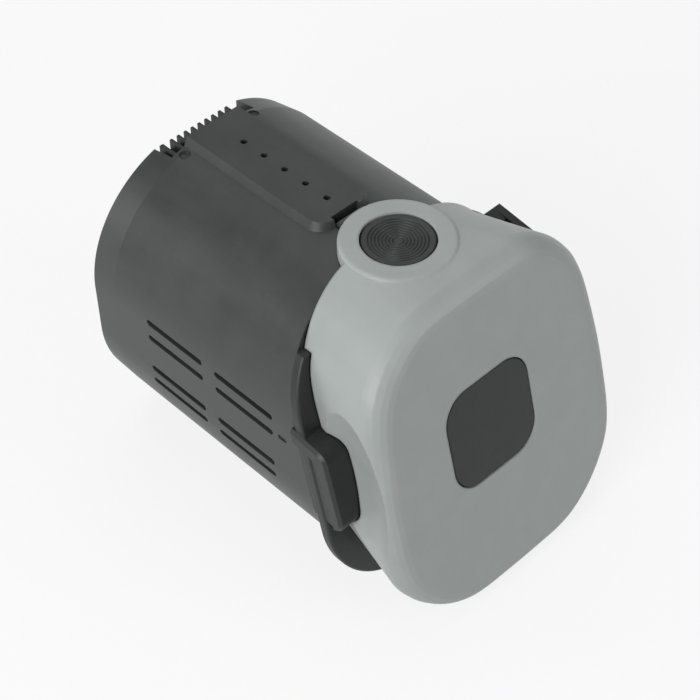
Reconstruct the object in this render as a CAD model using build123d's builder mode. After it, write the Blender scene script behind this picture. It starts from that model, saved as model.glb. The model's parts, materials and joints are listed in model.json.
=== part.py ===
from build123d import *
import os
from math import atan2, cos, degrees, pi, radians, sin, tan


# Battery pack of a cordless vacuum cleaner, in millimetres.
#
# The pack slides into the cleaner along +Y. X is to the right seen from the front cap,
# Y runs from the cap (front, -Y) to the terminals (rear, +Y), and Z is up.
# The origin is on the resting surface, below the middle of the pack.

# Overall sizes of the dark sleeve
REAR_Y = 59.0
HALF_WIDTH = 38.0
HEIGHT = 83.5
HIGH_RADIUS = 34.0
LOW_RADIUS = 33.0
WALL = 2.4
LEAD_IN = 9.0
LEAD_IN_SIDE = 0.1
LEAD_IN_TOP = 1.7
LEAD_IN_LOW = 0.4
LEAD_IN_EDGE = 0.6

# The front face leans back, and every seam behind it is parallel to it
FACE_LEAN = 14.2
FACE_FLOOR_Y = -58.5
FRAME_FRONT_FLOOR_Y = -34.6
FRAME_DEPTH = 4.2
SEAM = 0.3
VISOR_DEPTH = 2.4
VISOR_FLOOR_Z = 73.0

# Collar of the front frame, squarer than the sleeve
COLLAR_SIDE = 0.4
COLLAR_DEPTH = 3.2
COLLAR_EDGE = 0.7
COLLAR_HIGH_RADIUS = 27.0
COLLAR_LOW_RADIUS = 22.0
OPENING_HALF_WIDTH = 19.0
OPENING_LOW = 10.0
OPENING_HIGH = 70.0
OPENING_RADIUS = 9.0
SPIGOT_DEPTH = 4.0
SPIGOT_WALL = 1.6
SPIGOT_CLEARANCE = 0.25

# Side grips
GRIP_REACH = 7.4
GRIP_LOW = 27.5
GRIP_HIGH = 53.4
GRIP_DROP = 1.6
GRIP_INNER_X = 31.5
GRIP_LIP = 1.2
GRIP_LIP_WIDTH = 3.2
GRIP_CORNER = 3.6
GRIP_BEVEL = 0.8
GRIP_CLEARANCE = 0.35

# Keying lug on the right shoulder
LUG_ROOT_X = 29.6
LUG_INNER_X = 36.4
LUG_OUTER_X = 38.6
LUG_LOW = 68.6
LUG_HIGH = 73.0
LUG_REACH = 7.4
LUG_DROP = 1.8

# Light grey end cap, whose front stands a little to the right of its rear
CAP_REAR_HALF = 33.0
CAP_TOP_DROP = 0.1
CAP_REAR_LOW = 2.6
CAP_REAR_HIGH_RADIUS = 25.0
CAP_REAR_LOW_RADIUS = 27.0
CAP_FRONT_SHIFT = 2.5
CAP_FRONT_HALF_HIGH = 32.8
CAP_FRONT_HALF_LOW = 36.6
CAP_FRONT_DROP = 0.2
CAP_FRONT_LOW = 2.4
CAP_SIDE_BULGE = 5.2
CAP_TOP_BULGE = 1.6
CAP_LOW_BULGE = 2.0
CAP_FRONT_HIGH_RADIUS = 18.0
CAP_FRONT_LOW_RADIUS = 23.0
CAP_EDGE_RADIUS = 5.0
CAP_EDGE_STEPS = 5
CAP_WALL = 3.2
CAP_SIDE_WALL = 4.4
CAP_FACE_WALL = 3.0
CAP_CHEEK = 7.5

# Finger scoop in the cap's left side, in front of the grip
SCOOP_FLOOR_X = 31.6
SCOOP_RADIUS = 22.0
SCOOP_HALF_LENGTH = 30.0
SCOOP_DRAW_IN = 6.0
SCOOP_MIDDLE_Z = 45.0
SCOOP_LEAD = 1.5

# Release button and the ring around it
BUTTON_Y = -14.3
BUTTON_RADIUS = 9.0
BUTTON_SINK = 0.2
BUTTON_GAP = 0.35
BUTTON_DEPTH = 4.2
BUTTON_SKIRT = 1.4
BUTTON_CROWN = 1.8
BUTTON_TRAVEL = 2.2
BUTTON_DISH = 0.5
GROOVE_COUNT = 8
GROOVE_PITCH = 0.85
GROOVE_FIRST = 1.3
GROOVE_DEPTH = 0.22
RING_RADIUS = 14.5
RING_RISE = 4.1
RING_UNDERSIDE_GAP = 0.3
RING_EDGE = 0.9
WELL_WALL = 1.85
WELL_FLOOR = 1.5
WELL_CLEARANCE = 0.4
STEM_RADIUS = 2.4
STEM_CLEARANCE = 0.5
STEM_EDGE = 0.5
STEM_HEAD = 2.0
STEM_HEAD_RADIUS = 1.9
NECK_RADIUS = 1.2
NECK_GAP = 0.6
BUTTON_EDGE = 0.45
SPRING_RADIUS = 5.0
SPRING_WIRE = 0.4
SPRING_TURNS = 3.5
SPRING_CLEARANCE = 0.06
COIL_SAMPLES = 48

# Catch lever behind the button
PIVOT_Y = -30.0
PIVOT_RADIUS = 1.5
PIVOT_CLEARANCE = 0.05
LEVER_HALF_WIDTH = 4.0
LEVER_THICKNESS = 2.4
LEVER_HUB_RADIUS = 3.4
LEVER_GAP = 0.35
LUG_THICKNESS = 3.0
LUG_CLEARANCE = 0.35
LUG_RIM = 2.0
PIN_FIT = 0.01
CATCH_DEPTH = 2.0
CATCH_STEP = 1.4
CATCH_PROUD = 1.7
CATCH_GAP = 0.35
CATCH_SWING = 1.3

# Raised rail on top with its row of five holes
RAIL_HALF_WIDTH = 10.3
RAIL_SLOPE = 1.8
RAIL_RISE = 1.9
RAIL_FRONT_Y = 3.0
RAIL_CORNER = 4.5
HOLE_COUNT = 5
HOLE_PITCH = 7.5
HOLE_FIRST_Y = 10.0
HOLE_RADIUS = 0.9

# Terminal recess and block at the rear top
RECESS_HALF_WIDTH = 14.0
RECESS_FRONT_Y = 51.8
RECESS_LOW = 70.0
BLOCK_CLEARANCE = 0.2
BLOCK_FRONT_Y = 46.0
BLOCK_TOP = 77.3
SHELF_THICKNESS = 2.0
RIB_COUNT = 9
RIB_PITCH = 2.33
RIB_THICKNESS = 0.8
RIB_TOP = 80.3
RIB_MIDDLE_X = 0.8
END_RIB_X = -11.7
END_RIB_THICKNESS = 1.2
PIT_RADIUS = 1.5
PIT_DEPTH = 1.6
PIT_SIDE = 2.4
PIT_Y = 49.4

# Vent slots in both sides
VENT_LENGTH = 21.0
VENT_WIDTH = 1.9
VENT_MIDDLES_Y = (26.8, 1.1)
VENT_HEIGHTS = (50.6, 45.2, 34.0, 29.4)
DIMPLE_Y = -12.8
DIMPLE_Z = 45.9
DIMPLE_LENGTH = 3.0
DIMPLE_WIDTH = 1.4
DIMPLE_DEPTH = 0.5

# Seven cells, six around one
CELL_RADIUS = 9.1
CELL_LENGTH = 65.2
CELL_PITCH = 18.9
CELL_REAR_Y = 53.0
CELL_MIDDLE_Z = 34.0
CELL_FIT = 0.15
CELL_SHOULDER = 0.8
CELL_TERMINAL_RADIUS = 4.6
CELL_GROOVE = 0.4
HOLDER_RADIUS = 31.0
HOLDER_DEPTH = 7.0
SADDLE_HALF_WIDTH = 24.0
SADDLE_LOW = 50.0
SADDLE_TOP = 63.5
STRIP_THICKNESS = 0.3
STRIP_WIDTH = 7.0
TAB_WIDTH = 5.0
TAB_LENGTH = 4.0
INSULATOR_RADIUS = 28.5
INSULATOR_THICKNESS = 0.5
FOAM_RADIUS = 25.0
FOAM_GAP = 0.1

# Screws that hold the frame to the sleeve
BOSS_INSETS = ((9.5, 54.0), (13.5, 13.0))
BOSS_RADIUS = 3.2
BOSS_DEPTH = 10.0
BOSS_GAP = 0.2
SCREW_RADIUS = 1.1
SCREW_HEAD_RADIUS = 2.3
SCREW_HEAD = 1.6
SCREW_LENGTH = 13.0
SCREW_SEAT = 2.3
SCREW_CLEARANCE = 0.2
SCREW_FIT = 0.02

# Snap hooks that hold the cap to the frame
HOOK_HEIGHTS = (30.0, 60.8)
HOOK_HALF_HEIGHT = 3.2
HOOK_THICKNESS = 1.8
HOOK_NOSE = 1.2
HOOK_NOSE_DEPTH = 2.0
HOOK_GAP = 0.25
HOOK_ROOT = 9.0
HOOK_ROOT_REACH = 3.5
HOOK_CLEARANCE = 0.35

# Charge window, light guide and its board, measured behind the face
WINDOW_MIDDLE_Z = 48.1
WINDOW_SIDE = 28.4
WINDOW_RADIUS = 7.8
WINDOW_GAP = 0.2
WINDOW_SINK = 0.15
WINDOW_EDGE = 0.5
FLANGE_MARGIN = 1.6
FLANGE_THICKNESS = 1.0
ADHESIVE_THICKNESS = 0.25
GUIDE_SIDE = 22.0
GUIDE_THICKNESS = 2.4
GUIDE_GAP = 0.1
GUIDE_FOOT_RADIUS = 1.0
LED_BOARD_WIDTH = 42.0
LED_BOARD_HEIGHT = 28.0
LED_BOARD_THICKNESS = 1.4
LED_HEIGHT = 0.9
LED_GAP = 0.15
LED_SIDE = 2.4
LED_SPREAD = 11.0
POST_X = 18.2
POST_Z = 10.0
POST_RADIUS = 2.3
SMALL_SCREW_RADIUS = 0.9
SMALL_SCREW_HEAD_RADIUS = 1.8
SMALL_SCREW_HEAD = 1.3
SMALL_SCREW_LENGTH = 4.6
SMALL_SCREW = (SMALL_SCREW_RADIUS, SMALL_SCREW_LENGTH, SMALL_SCREW_HEAD_RADIUS, SMALL_SCREW_HEAD)

# Control board on the cell holders
BOARD_HALF_WIDTH = 23.5
BOARD_THICKNESS = 1.6
BOARD_END_GAP = 0.1
BOARD_SCREW_X = 20.0
BOARD_SCREW_INSET = 3.6
BOARD_CORNER = 1.2
TRANSISTOR_COUNT = 4
TRANSISTOR_PITCH = 11.5
TRANSISTOR_Y = 18.0
TRANSISTOR_LENGTH = 8.6
TRANSISTOR_WIDTH = 9.4
TRANSISTOR_HEIGHT = 4.4
TAB_REACH = 1.8
LEG_WIDTH = 1.2
LEG_REACH = 3.4
CHIPS = (
    (0.0, 8.0, 9.0, 9.0),
    (13.0, 7.0, 5.0, 4.0),
    (-13.0, 9.0, 6.2, 5.0),
    (2.0, 33.0, 5.0, 4.0),
)
CHIP_HEIGHT = 1.3
CONNECTOR_Y = -9.8
CONNECTOR_LENGTH = 6.0
CONNECTOR_WIDTH = 7.0
CONNECTOR_HEIGHT = 4.0
THERMISTOR_Y = 12.0
THERMISTOR_Z = 54.9
THERMISTOR_RADIUS = 1.0
THERMISTOR_LEG = 0.6

# Contacts in the gaps of the comb
CONTACT_THICKNESS = 0.8
CONTACT_GAP = 0.06
CONTACT_INSET = 1.4
CONTACT_LOW = 73.4
CONTACT_TOP = 78.6
TAIL_LENGTH = 4.0
TAIL_HALF = 1.5
TAIL_Z = 74.9

# Leads
LEAD_RADIUS = 1.3
LEAD_PAD_X = 14.0
LEAD_PAD_Y = 33.0
LEAD_RISE = 5.2
LEAD_LAST_RUN = 4.6
ARC_SHARE = 0.45
CABLE_RADIUS = 1.2
CABLE_X = -14.0
CABLE_LOCAL_Z = 6.7
CABLE_FIRST_RUN = 8.0
CABLE_LAST_RUN = 5.0
CABLE_HIGH_Z = 67.4
CABLE_DROP = 2.6

# Values worked out from the sizes above
LEAN = radians(FACE_LEAN)
RISE = tan(LEAN)
STRETCH = 1 / cos(LEAN)
RING_TOP = HEIGHT + RING_RISE
BUTTON_TOP = RING_TOP - BUTTON_SINK
RAIL_TOP = HEIGHT + RAIL_RISE
CAP_REAR_HIGH = RING_TOP - CAP_TOP_DROP
CAP_FRONT_HIGH = CAP_REAR_HIGH - CAP_FRONT_DROP - CAP_TOP_BULGE
BOSS_PLACES = tuple((HALF_WIDTH - inset, height) for inset, height in BOSS_INSETS)
LEAD_IN_Y = REAR_Y - LEAD_IN
REAR_WALL_Y = REAR_Y - WALL
SEAM_AXIS = Axis((0, 0, 0), (0, -cos(LEAN), sin(LEAN)))
FRAME_REAR_FLOOR_Y = FRAME_FRONT_FLOOR_Y + FRAME_DEPTH
CAP_REAR_FLOOR_Y = FRAME_FRONT_FLOOR_Y - SEAM
VISOR_FLOOR_Y = CAP_REAR_FLOOR_Y + VISOR_DEPTH
RING_LOW = HEIGHT + RING_UNDERSIDE_GAP
WELL_RADIUS = BUTTON_RADIUS + BUTTON_GAP + WELL_WALL
NOTCH_RADIUS = WELL_RADIUS + WELL_CLEARANCE
BUTTON_LOW = BUTTON_TOP - BUTTON_DEPTH
SPRING_TOP = BUTTON_TOP - BUTTON_CROWN
WELL_FLOOR_TOP = BUTTON_LOW - BUTTON_TRAVEL - WELL_FLOOR
WELL_FLOOR_LOW = WELL_FLOOR_TOP - WELL_FLOOR
LEVER_TOP = WELL_FLOOR_LOW - 2 * LEVER_GAP
PIVOT_Z = LEVER_TOP - LEVER_THICKNESS / 2
STEM_LOW = LEVER_TOP + LEVER_GAP
CATCH_FRONT_Y = BUTTON_Y + RING_RADIUS + CATCH_GAP * 2
CATCH_TOP = HEIGHT + CATCH_PROUD
CELL_FRONT_Y = CELL_REAR_Y - CELL_LENGTH
BOARD_TOP = SADDLE_TOP + BOARD_THICKNESS
flange_side = WINDOW_SIDE + 2 * FLANGE_MARGIN
flange_rear = CAP_FACE_WALL + ADHESIVE_THICKNESS + FLANGE_THICKNESS
guide_front = flange_rear + GUIDE_GAP
led_board_front = guide_front + GUIDE_THICKNESS + LED_GAP + LED_HEIGHT
led_board_rear = led_board_front + LED_BOARD_THICKNESS
FAR = 200.0
CORNER_STEPS = 6
SIDE_STEPS = 4


def station(y):
    """Upright plane across the pack at y, facing the front."""
    return Plane.XZ.offset(-y)


def seam_plane(floor_y):
    """Plane parallel to the front face that meets the resting surface at floor_y."""
    return Plane(origin=(0, floor_y, 0), x_dir=(1, 0, 0), z_dir=(0, -cos(LEAN), sin(LEAN)))


def face_plane(depth=0.0):
    """Plane at a depth behind the front face, centred on the charge window."""
    middle_y = FACE_FLOOR_Y + WINDOW_MIDDLE_Z * RISE
    face = Plane(origin=(0, middle_y, WINDOW_MIDDLE_Z), x_dir=(1, 0, 0), z_dir=(0, -cos(LEAN), sin(LEAN)))
    return face.offset(-depth)


def seam_y(floor_y, z):
    """Where the seam plane stands at height z."""
    return floor_y + z * RISE


def rounded_outline(half_width, low, high, low_radius, high_radius):
    """Upright rectangle with its own radius for the lower and the upper corners."""
    with BuildSketch() as outline:
        with Locations((0, (low + high) / 2)):
            Rectangle(2 * half_width, high - low)
        fillet(outline.vertices().group_by(Axis.Y)[0], low_radius)
        fillet(outline.vertices().group_by(Axis.Y)[-1], high_radius)
    return outline.sketch


def soft_outline(half_low, half_high, low, high, radii, bows, shift=0.0):
    """Smooth closed curve: a box that narrows upwards, with round corners and bowed sides.

    Radii are those of the low and the high corners. Bows are those of the low, side and high edges.
    The whole curve stands off the middle by the shift.
    """
    middle = (low + high) / 2
    half_height = (high - low) / 2
    points = []
    for right, upper in ((1, 1), (1, 0), (0, 0), (0, 1)):
        radius = radii[upper]
        sign_x = 1 if right else -1
        sign_z = 1 if upper else -1
        forward = right == upper
        for step in range(CORNER_STEPS + 1):
            turn = pi / 2 * (step if not forward else CORNER_STEPS - step) / CORNER_STEPS
            z = middle + sign_z * (half_height - radius + radius * sin(turn))
            share = (z - low) / (high - low)
            half = half_low + (half_high - half_low) * share
            x = sign_x * (half - radius + radius * cos(turn))
            points.append((x, z, half))
        # Points along the straight stretch to the next corner
        next_radius = radii[0 if right else 1] if forward else radius
        for step in range(1, SIDE_STEPS):
            share_done = step / SIDE_STEPS
            if forward:
                z_from = middle + sign_z * (half_height - radius)
                z_to = middle - sign_z * (half_height - next_radius)
                z = z_from + (z_to - z_from) * share_done
                half = half_low + (half_high - half_low) * (z - low) / (high - low)
                points.append((sign_x * half, z, half))
            else:
                half = half_high if upper else half_low
                x = sign_x * (half - radius) * (1 - 2 * share_done)
                points.append((x, middle + sign_z * half_height, half))
    bowed = []
    for x, z, half in points:
        height_share = (z - middle) / half_height
        width_share = x / half
        bow_z = bows[2] if z > middle else bows[0]
        bowed.append((
            x + bows[1] * width_share * (1 - height_share ** 2) + shift,
            z + bow_z * height_share * (1 - width_share ** 2),
        ))
    with BuildSketch() as outline:
        with BuildLine():
            Spline(bowed, periodic=True)
        make_face()
    return outline.sketch


def sleeve_outline(inset=0.0, side=0.0, top=0.0, floor=0.0):
    """Section of the sleeve, drawn in all round by inset and by the extra amounts given."""
    return rounded_outline(
        HALF_WIDTH - inset - side,
        inset + floor,
        HEIGHT - inset - top,
        LOW_RADIUS - inset,
        HIGH_RADIUS - inset,
    )


def leaned(outline):
    """Stretches an upright outline for a seam plane, so that it keeps its heights there."""
    return scale(outline, by=(1, STRETCH, 1))


def cap_rear_outline(inset=0.0, side=0.0):
    """Rear section of the end cap."""
    return soft_outline(
        CAP_REAR_HALF - inset - side,
        CAP_REAR_HALF - inset - side,
        CAP_REAR_LOW + inset,
        CAP_REAR_HIGH - inset,
        (CAP_REAR_LOW_RADIUS - inset, CAP_REAR_HIGH_RADIUS - inset),
        (0, 0, 0),
    )


def cap_front_outline(inset=0.0, side=0.0):
    """Front section of the end cap, with bowed sides."""
    return soft_outline(
        CAP_FRONT_HALF_LOW - inset - side,
        CAP_FRONT_HALF_HIGH - inset - side,
        CAP_FRONT_LOW + inset,
        CAP_FRONT_HIGH - inset,
        (CAP_FRONT_LOW_RADIUS - inset, CAP_FRONT_HIGH_RADIUS - inset),
        (CAP_LOW_BULGE, CAP_SIDE_BULGE, CAP_TOP_BULGE),
        CAP_FRONT_SHIFT,
    )


def keep_between(rear_floor_y, front_floor_y):
    """Trims the open part to the layer between two seam planes."""
    split(bisect_by=seam_plane(rear_floor_y), keep=Keep.TOP)
    split(bisect_by=seam_plane(front_floor_y), keep=Keep.BOTTOM)


def layer(outline, rear_floor_y, front_floor_y):
    """Level bar with the upright outline, cut off at two seam planes."""
    with BuildPart() as bar:
        with BuildSketch(station(0)):
            add(outline)
        extrude(amount=FAR, both=True)
        keep_between(rear_floor_y, front_floor_y)
    return bar.part


def layered_block(x, z, rear_floor_y, front_floor_y):
    """Bar with ranges x and z, cut off at two seam planes."""
    with BuildPart() as bar:
        add(block(x, (-FAR, FAR), z))
        keep_between(rear_floor_y, front_floor_y)
    return bar.part


def block(x, y, z):
    """Box given by its ranges in x, y and z, for use in the open part."""
    return Pos((x[0] + x[1]) / 2, (y[0] + y[1]) / 2, (z[0] + z[1]) / 2) * Box(
        x[1] - x[0], y[1] - y[0], z[1] - z[0], mode=Mode.PRIVATE
    )


def save(piece, name):
    """Labels a finished piece and writes it to its file."""
    piece.label = name
    export_step(piece, f"parts/{name}.step")


os.makedirs("parts", exist_ok=True)

# Screw bosses of the sleeve, cut back to clear the frame's spigot
with BuildPart() as sleeve_bosses:
    for boss_x, boss_z in BOSS_PLACES:
        boss_rear_y = seam_y(FRAME_REAR_FLOOR_Y + SPIGOT_DEPTH, boss_z) + BOSS_DEPTH
        for side in (-1, 1):
            with BuildSketch(station(boss_rear_y)):
                with Locations((side * boss_x, boss_z)):
                    Circle(BOSS_RADIUS)
                with Locations((side * (boss_x + BOSS_RADIUS + 1), boss_z)):
                    Rectangle(BOSS_RADIUS * 2, WALL)
            extrude(amount=BOSS_DEPTH + BOSS_RADIUS)
    split(bisect_by=seam_plane(FRAME_REAR_FLOOR_Y + SPIGOT_DEPTH + BOSS_GAP), keep=Keep.BOTTOM)
    with BuildSketch(station(REAR_Y)):
        add(sleeve_outline(inset=WALL / 2))
    extrude(amount=FAR, mode=Mode.INTERSECT)
    for boss_x, boss_z in BOSS_PLACES:
        for side in (-1, 1):
            with BuildSketch(station(REAR_Y)):
                with Locations((side * boss_x, boss_z)):
                    Circle(SCREW_RADIUS + SCREW_FIT)
            extrude(amount=FAR, mode=Mode.SUBTRACT)

# Sleeve: outer form with a drafted lead-in at the rear, then the hollow
rail_rear_y = RECESS_FRONT_Y + RAIL_CORNER
with BuildPart() as body_shell:
    with BuildSketch(station(LEAD_IN_Y)):
        add(sleeve_outline())
    extrude(amount=LEAD_IN_Y - FRAME_FRONT_FLOOR_Y)
    with BuildSketch(station(LEAD_IN_Y)):
        add(sleeve_outline())
    with BuildSketch(station(REAR_Y)):
        add(sleeve_outline(side=LEAD_IN_SIDE, top=LEAD_IN_TOP, floor=LEAD_IN_LOW))
    loft()
    rear_edges = body_shell.faces().sort_by(Axis.Y)[-1].edges()
    fillet(rear_edges, LEAD_IN_EDGE)
    with BuildSketch(Plane.XY.offset(RAIL_TOP)):
        with Locations((0, (RAIL_FRONT_Y + rail_rear_y) / 2)):
            RectangleRounded(2 * (RAIL_HALF_WIDTH - RAIL_SLOPE), rail_rear_y - RAIL_FRONT_Y, RAIL_CORNER)
    extrude(amount=-(RAIL_TOP - HEIGHT + WALL), taper=-25)
    with BuildSketch(station(LEAD_IN_Y)):
        add(sleeve_outline(inset=WALL))
    extrude(amount=LEAD_IN_Y - FRAME_FRONT_FLOOR_Y, mode=Mode.SUBTRACT)
    with BuildSketch(station(LEAD_IN_Y)):
        add(sleeve_outline(inset=WALL))
    with BuildSketch(station(REAR_WALL_Y)):
        add(sleeve_outline(inset=WALL, side=LEAD_IN_SIDE, top=LEAD_IN_TOP, floor=LEAD_IN_LOW))
    loft(mode=Mode.SUBTRACT)
    split(bisect_by=seam_plane(FRAME_REAR_FLOOR_Y), keep=Keep.BOTTOM)
    add(sleeve_bosses.part)
    for side in (-1, 1):
        add(block(
            sorted((side * (HOLDER_RADIUS + BOSS_GAP), side * (HALF_WIDTH - WALL / 2))),
            (CELL_FRONT_Y, REAR_WALL_Y),
            (CELL_MIDDLE_Z - 1, CELL_MIDDLE_Z + 1),
        ))
    add(block(
        (-RECESS_HALF_WIDTH - WALL, RECESS_HALF_WIDTH + WALL),
        (RECESS_FRONT_Y - SHELF_THICKNESS, REAR_WALL_Y + WALL / 2),
        (RECESS_LOW - SHELF_THICKNESS, RECESS_LOW),
    ))
    add(block(
        (-RECESS_HALF_WIDTH, RECESS_HALF_WIDTH),
        (RECESS_FRONT_Y, REAR_Y + WALL),
        (RECESS_LOW, FAR),
    ), mode=Mode.SUBTRACT)
    # Notch for the button well, and the slot for the catch
    with BuildSketch(Plane.XY.offset(HEIGHT - 2 * WALL)):
        with Locations((0, BUTTON_Y)):
            Circle(NOTCH_RADIUS)
        with Locations((0, BUTTON_Y - NOTCH_RADIUS)):
            Rectangle(2 * NOTCH_RADIUS, 2 * NOTCH_RADIUS)
    extrude(amount=4 * WALL, mode=Mode.SUBTRACT)
    add(block(
        (-LEVER_HALF_WIDTH - CATCH_GAP, LEVER_HALF_WIDTH + CATCH_GAP),
        (CATCH_FRONT_Y - CATCH_GAP, CATCH_FRONT_Y + CATCH_DEPTH + CATCH_SWING),
        (HEIGHT - 2 * WALL, FAR),
    ), mode=Mode.SUBTRACT)
    with Locations((0, HOLE_FIRST_Y + HOLE_PITCH * (HOLE_COUNT - 1) / 2, RAIL_TOP)):
        with GridLocations(1, HOLE_PITCH, 1, HOLE_COUNT):
            Hole(HOLE_RADIUS, depth=RAIL_TOP - HEIGHT + 2 * WALL)
    for side in (-1, 1):
        with BuildSketch(Plane.XY.offset(HEIGHT - PIT_DEPTH)):
            with Locations((side * (RECESS_HALF_WIDTH - PIT_SIDE), PIT_Y)):
                Circle(PIT_RADIUS)
        extrude(amount=4 * WALL, mode=Mode.SUBTRACT)
        with BuildSketch(Plane.YZ.offset(side * (HALF_WIDTH - 2 * WALL))):
            for vent_y in VENT_MIDDLES_Y:
                for vent_z in VENT_HEIGHTS:
                    with Locations((vent_y, vent_z)):
                        SlotOverall(VENT_LENGTH, VENT_WIDTH)
        extrude(amount=side * 4 * WALL, mode=Mode.SUBTRACT)
        with BuildSketch(Plane.YZ.offset(side * (HALF_WIDTH - DIMPLE_DEPTH))):
            with Locations((DIMPLE_Y, DIMPLE_Z)):
                SlotOverall(DIMPLE_LENGTH, DIMPLE_WIDTH)
        extrude(amount=side * WALL, mode=Mode.SUBTRACT)
save(body_shell.part, "body_shell")


def grip_profile(margin=0.0):
    """Side view of a grip, grown by a margin at its top, bottom and front."""
    front_floor_y = FRAME_FRONT_FLOOR_Y - GRIP_REACH - margin
    low = GRIP_LOW - margin
    high = GRIP_HIGH + margin
    with BuildSketch() as profile:
        with BuildLine():
            Polyline(
                (seam_y(FRAME_REAR_FLOOR_Y, low), low),
                (seam_y(front_floor_y, low), low),
                (seam_y(front_floor_y, high), high - GRIP_DROP),
                (seam_y(FRAME_REAR_FLOOR_Y, high), high),
                close=True,
            )
        make_face()
        fillet(profile.vertices().sort_by(Axis.X)[:2], GRIP_CORNER + margin)
    return profile.sketch


# Right grip: a raised lip round a shallow finger dish
grip_outer_x = HALF_WIDTH + GRIP_LIP
with BuildPart() as grip:
    with BuildSketch(Plane.YZ.offset(GRIP_INNER_X)):
        add(grip_profile())
    extrude(amount=grip_outer_x - GRIP_INNER_X)
    outer_edges = grip.faces().sort_by(Axis.X)[-1].edges().sort_by(Axis.Y)[:-1]
    chamfer(outer_edges, GRIP_BEVEL)
    dish_front_y = FRAME_FRONT_FLOOR_Y - GRIP_REACH + GRIP_LIP_WIDTH
    dish_low = GRIP_LOW - GRIP_LIP_WIDTH
    dish_high = GRIP_HIGH - GRIP_LIP_WIDTH
    with BuildSketch(Plane.YZ.offset(HALF_WIDTH)) as dish:
        with BuildLine():
            Polyline(
                (seam_y(FRAME_REAR_FLOOR_Y, dish_low) + GRIP_REACH, dish_low),
                (seam_y(dish_front_y, dish_low), dish_low),
                (seam_y(dish_front_y, dish_high), dish_high - GRIP_DROP),
                (seam_y(FRAME_REAR_FLOOR_Y, dish_high) + GRIP_REACH, dish_high),
                close=True,
            )
        make_face()
        fillet(dish.vertices().sort_by(Axis.Y)[-2], GRIP_CORNER)
    extrude(amount=2 * GRIP_LIP, mode=Mode.SUBTRACT)

# Ring that slips into the sleeve, and the frame's screw standoffs
with BuildSketch() as spigot_ring:
    add(sleeve_outline(inset=WALL + SPIGOT_CLEARANCE))
    add(sleeve_outline(inset=WALL + SPIGOT_CLEARANCE + SPIGOT_WALL), mode=Mode.SUBTRACT)
    for side in (-1, 1):
        for boss_x, boss_z in BOSS_PLACES:
            with Locations((side * boss_x, boss_z)):
                Circle(BOSS_RADIUS)
    add(sleeve_outline(inset=WALL + SPIGOT_CLEARANCE), mode=Mode.INTERSECT)

# Keying lug on the right shoulder, in front of the collar
with BuildPart() as keying_lug:
    with BuildSketch(Plane.YZ.offset(LUG_INNER_X)):
        with BuildLine():
            Polyline(
                (seam_y(FRAME_REAR_FLOOR_Y, LUG_LOW), LUG_LOW),
                (seam_y(FRAME_FRONT_FLOOR_Y - LUG_REACH, LUG_LOW), LUG_LOW),
                (seam_y(FRAME_FRONT_FLOOR_Y - LUG_REACH, LUG_HIGH), LUG_HIGH - LUG_DROP),
                (seam_y(FRAME_REAR_FLOOR_Y, LUG_HIGH), LUG_HIGH),
                close=True,
            )
        make_face()
    extrude(amount=LUG_OUTER_X - LUG_INNER_X)
    with BuildSketch(Plane.YZ.offset(LUG_ROOT_X)):
        with BuildLine():
            Polyline(
                (seam_y(FRAME_REAR_FLOOR_Y, LUG_LOW), LUG_LOW),
                (seam_y(FRAME_FRONT_FLOOR_Y, LUG_LOW), LUG_LOW),
                (seam_y(FRAME_FRONT_FLOOR_Y, LUG_HIGH), LUG_HIGH - LUG_DROP / 2),
                (seam_y(FRAME_REAR_FLOOR_Y, LUG_HIGH), LUG_HIGH),
                close=True,
            )
        make_face()
    extrude(amount=LUG_OUTER_X - LUG_ROOT_X)
    visor_room = layer(cap_rear_outline(inset=-SEAM), VISOR_FLOOR_Y + SEAM, FRAME_FRONT_FLOOR_Y - FRAME_DEPTH)
    add(split(visor_room, bisect_by=Plane.XY.offset(VISOR_FLOOR_Z - SEAM), keep=Keep.TOP, mode=Mode.PRIVATE),
        mode=Mode.SUBTRACT)

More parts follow.
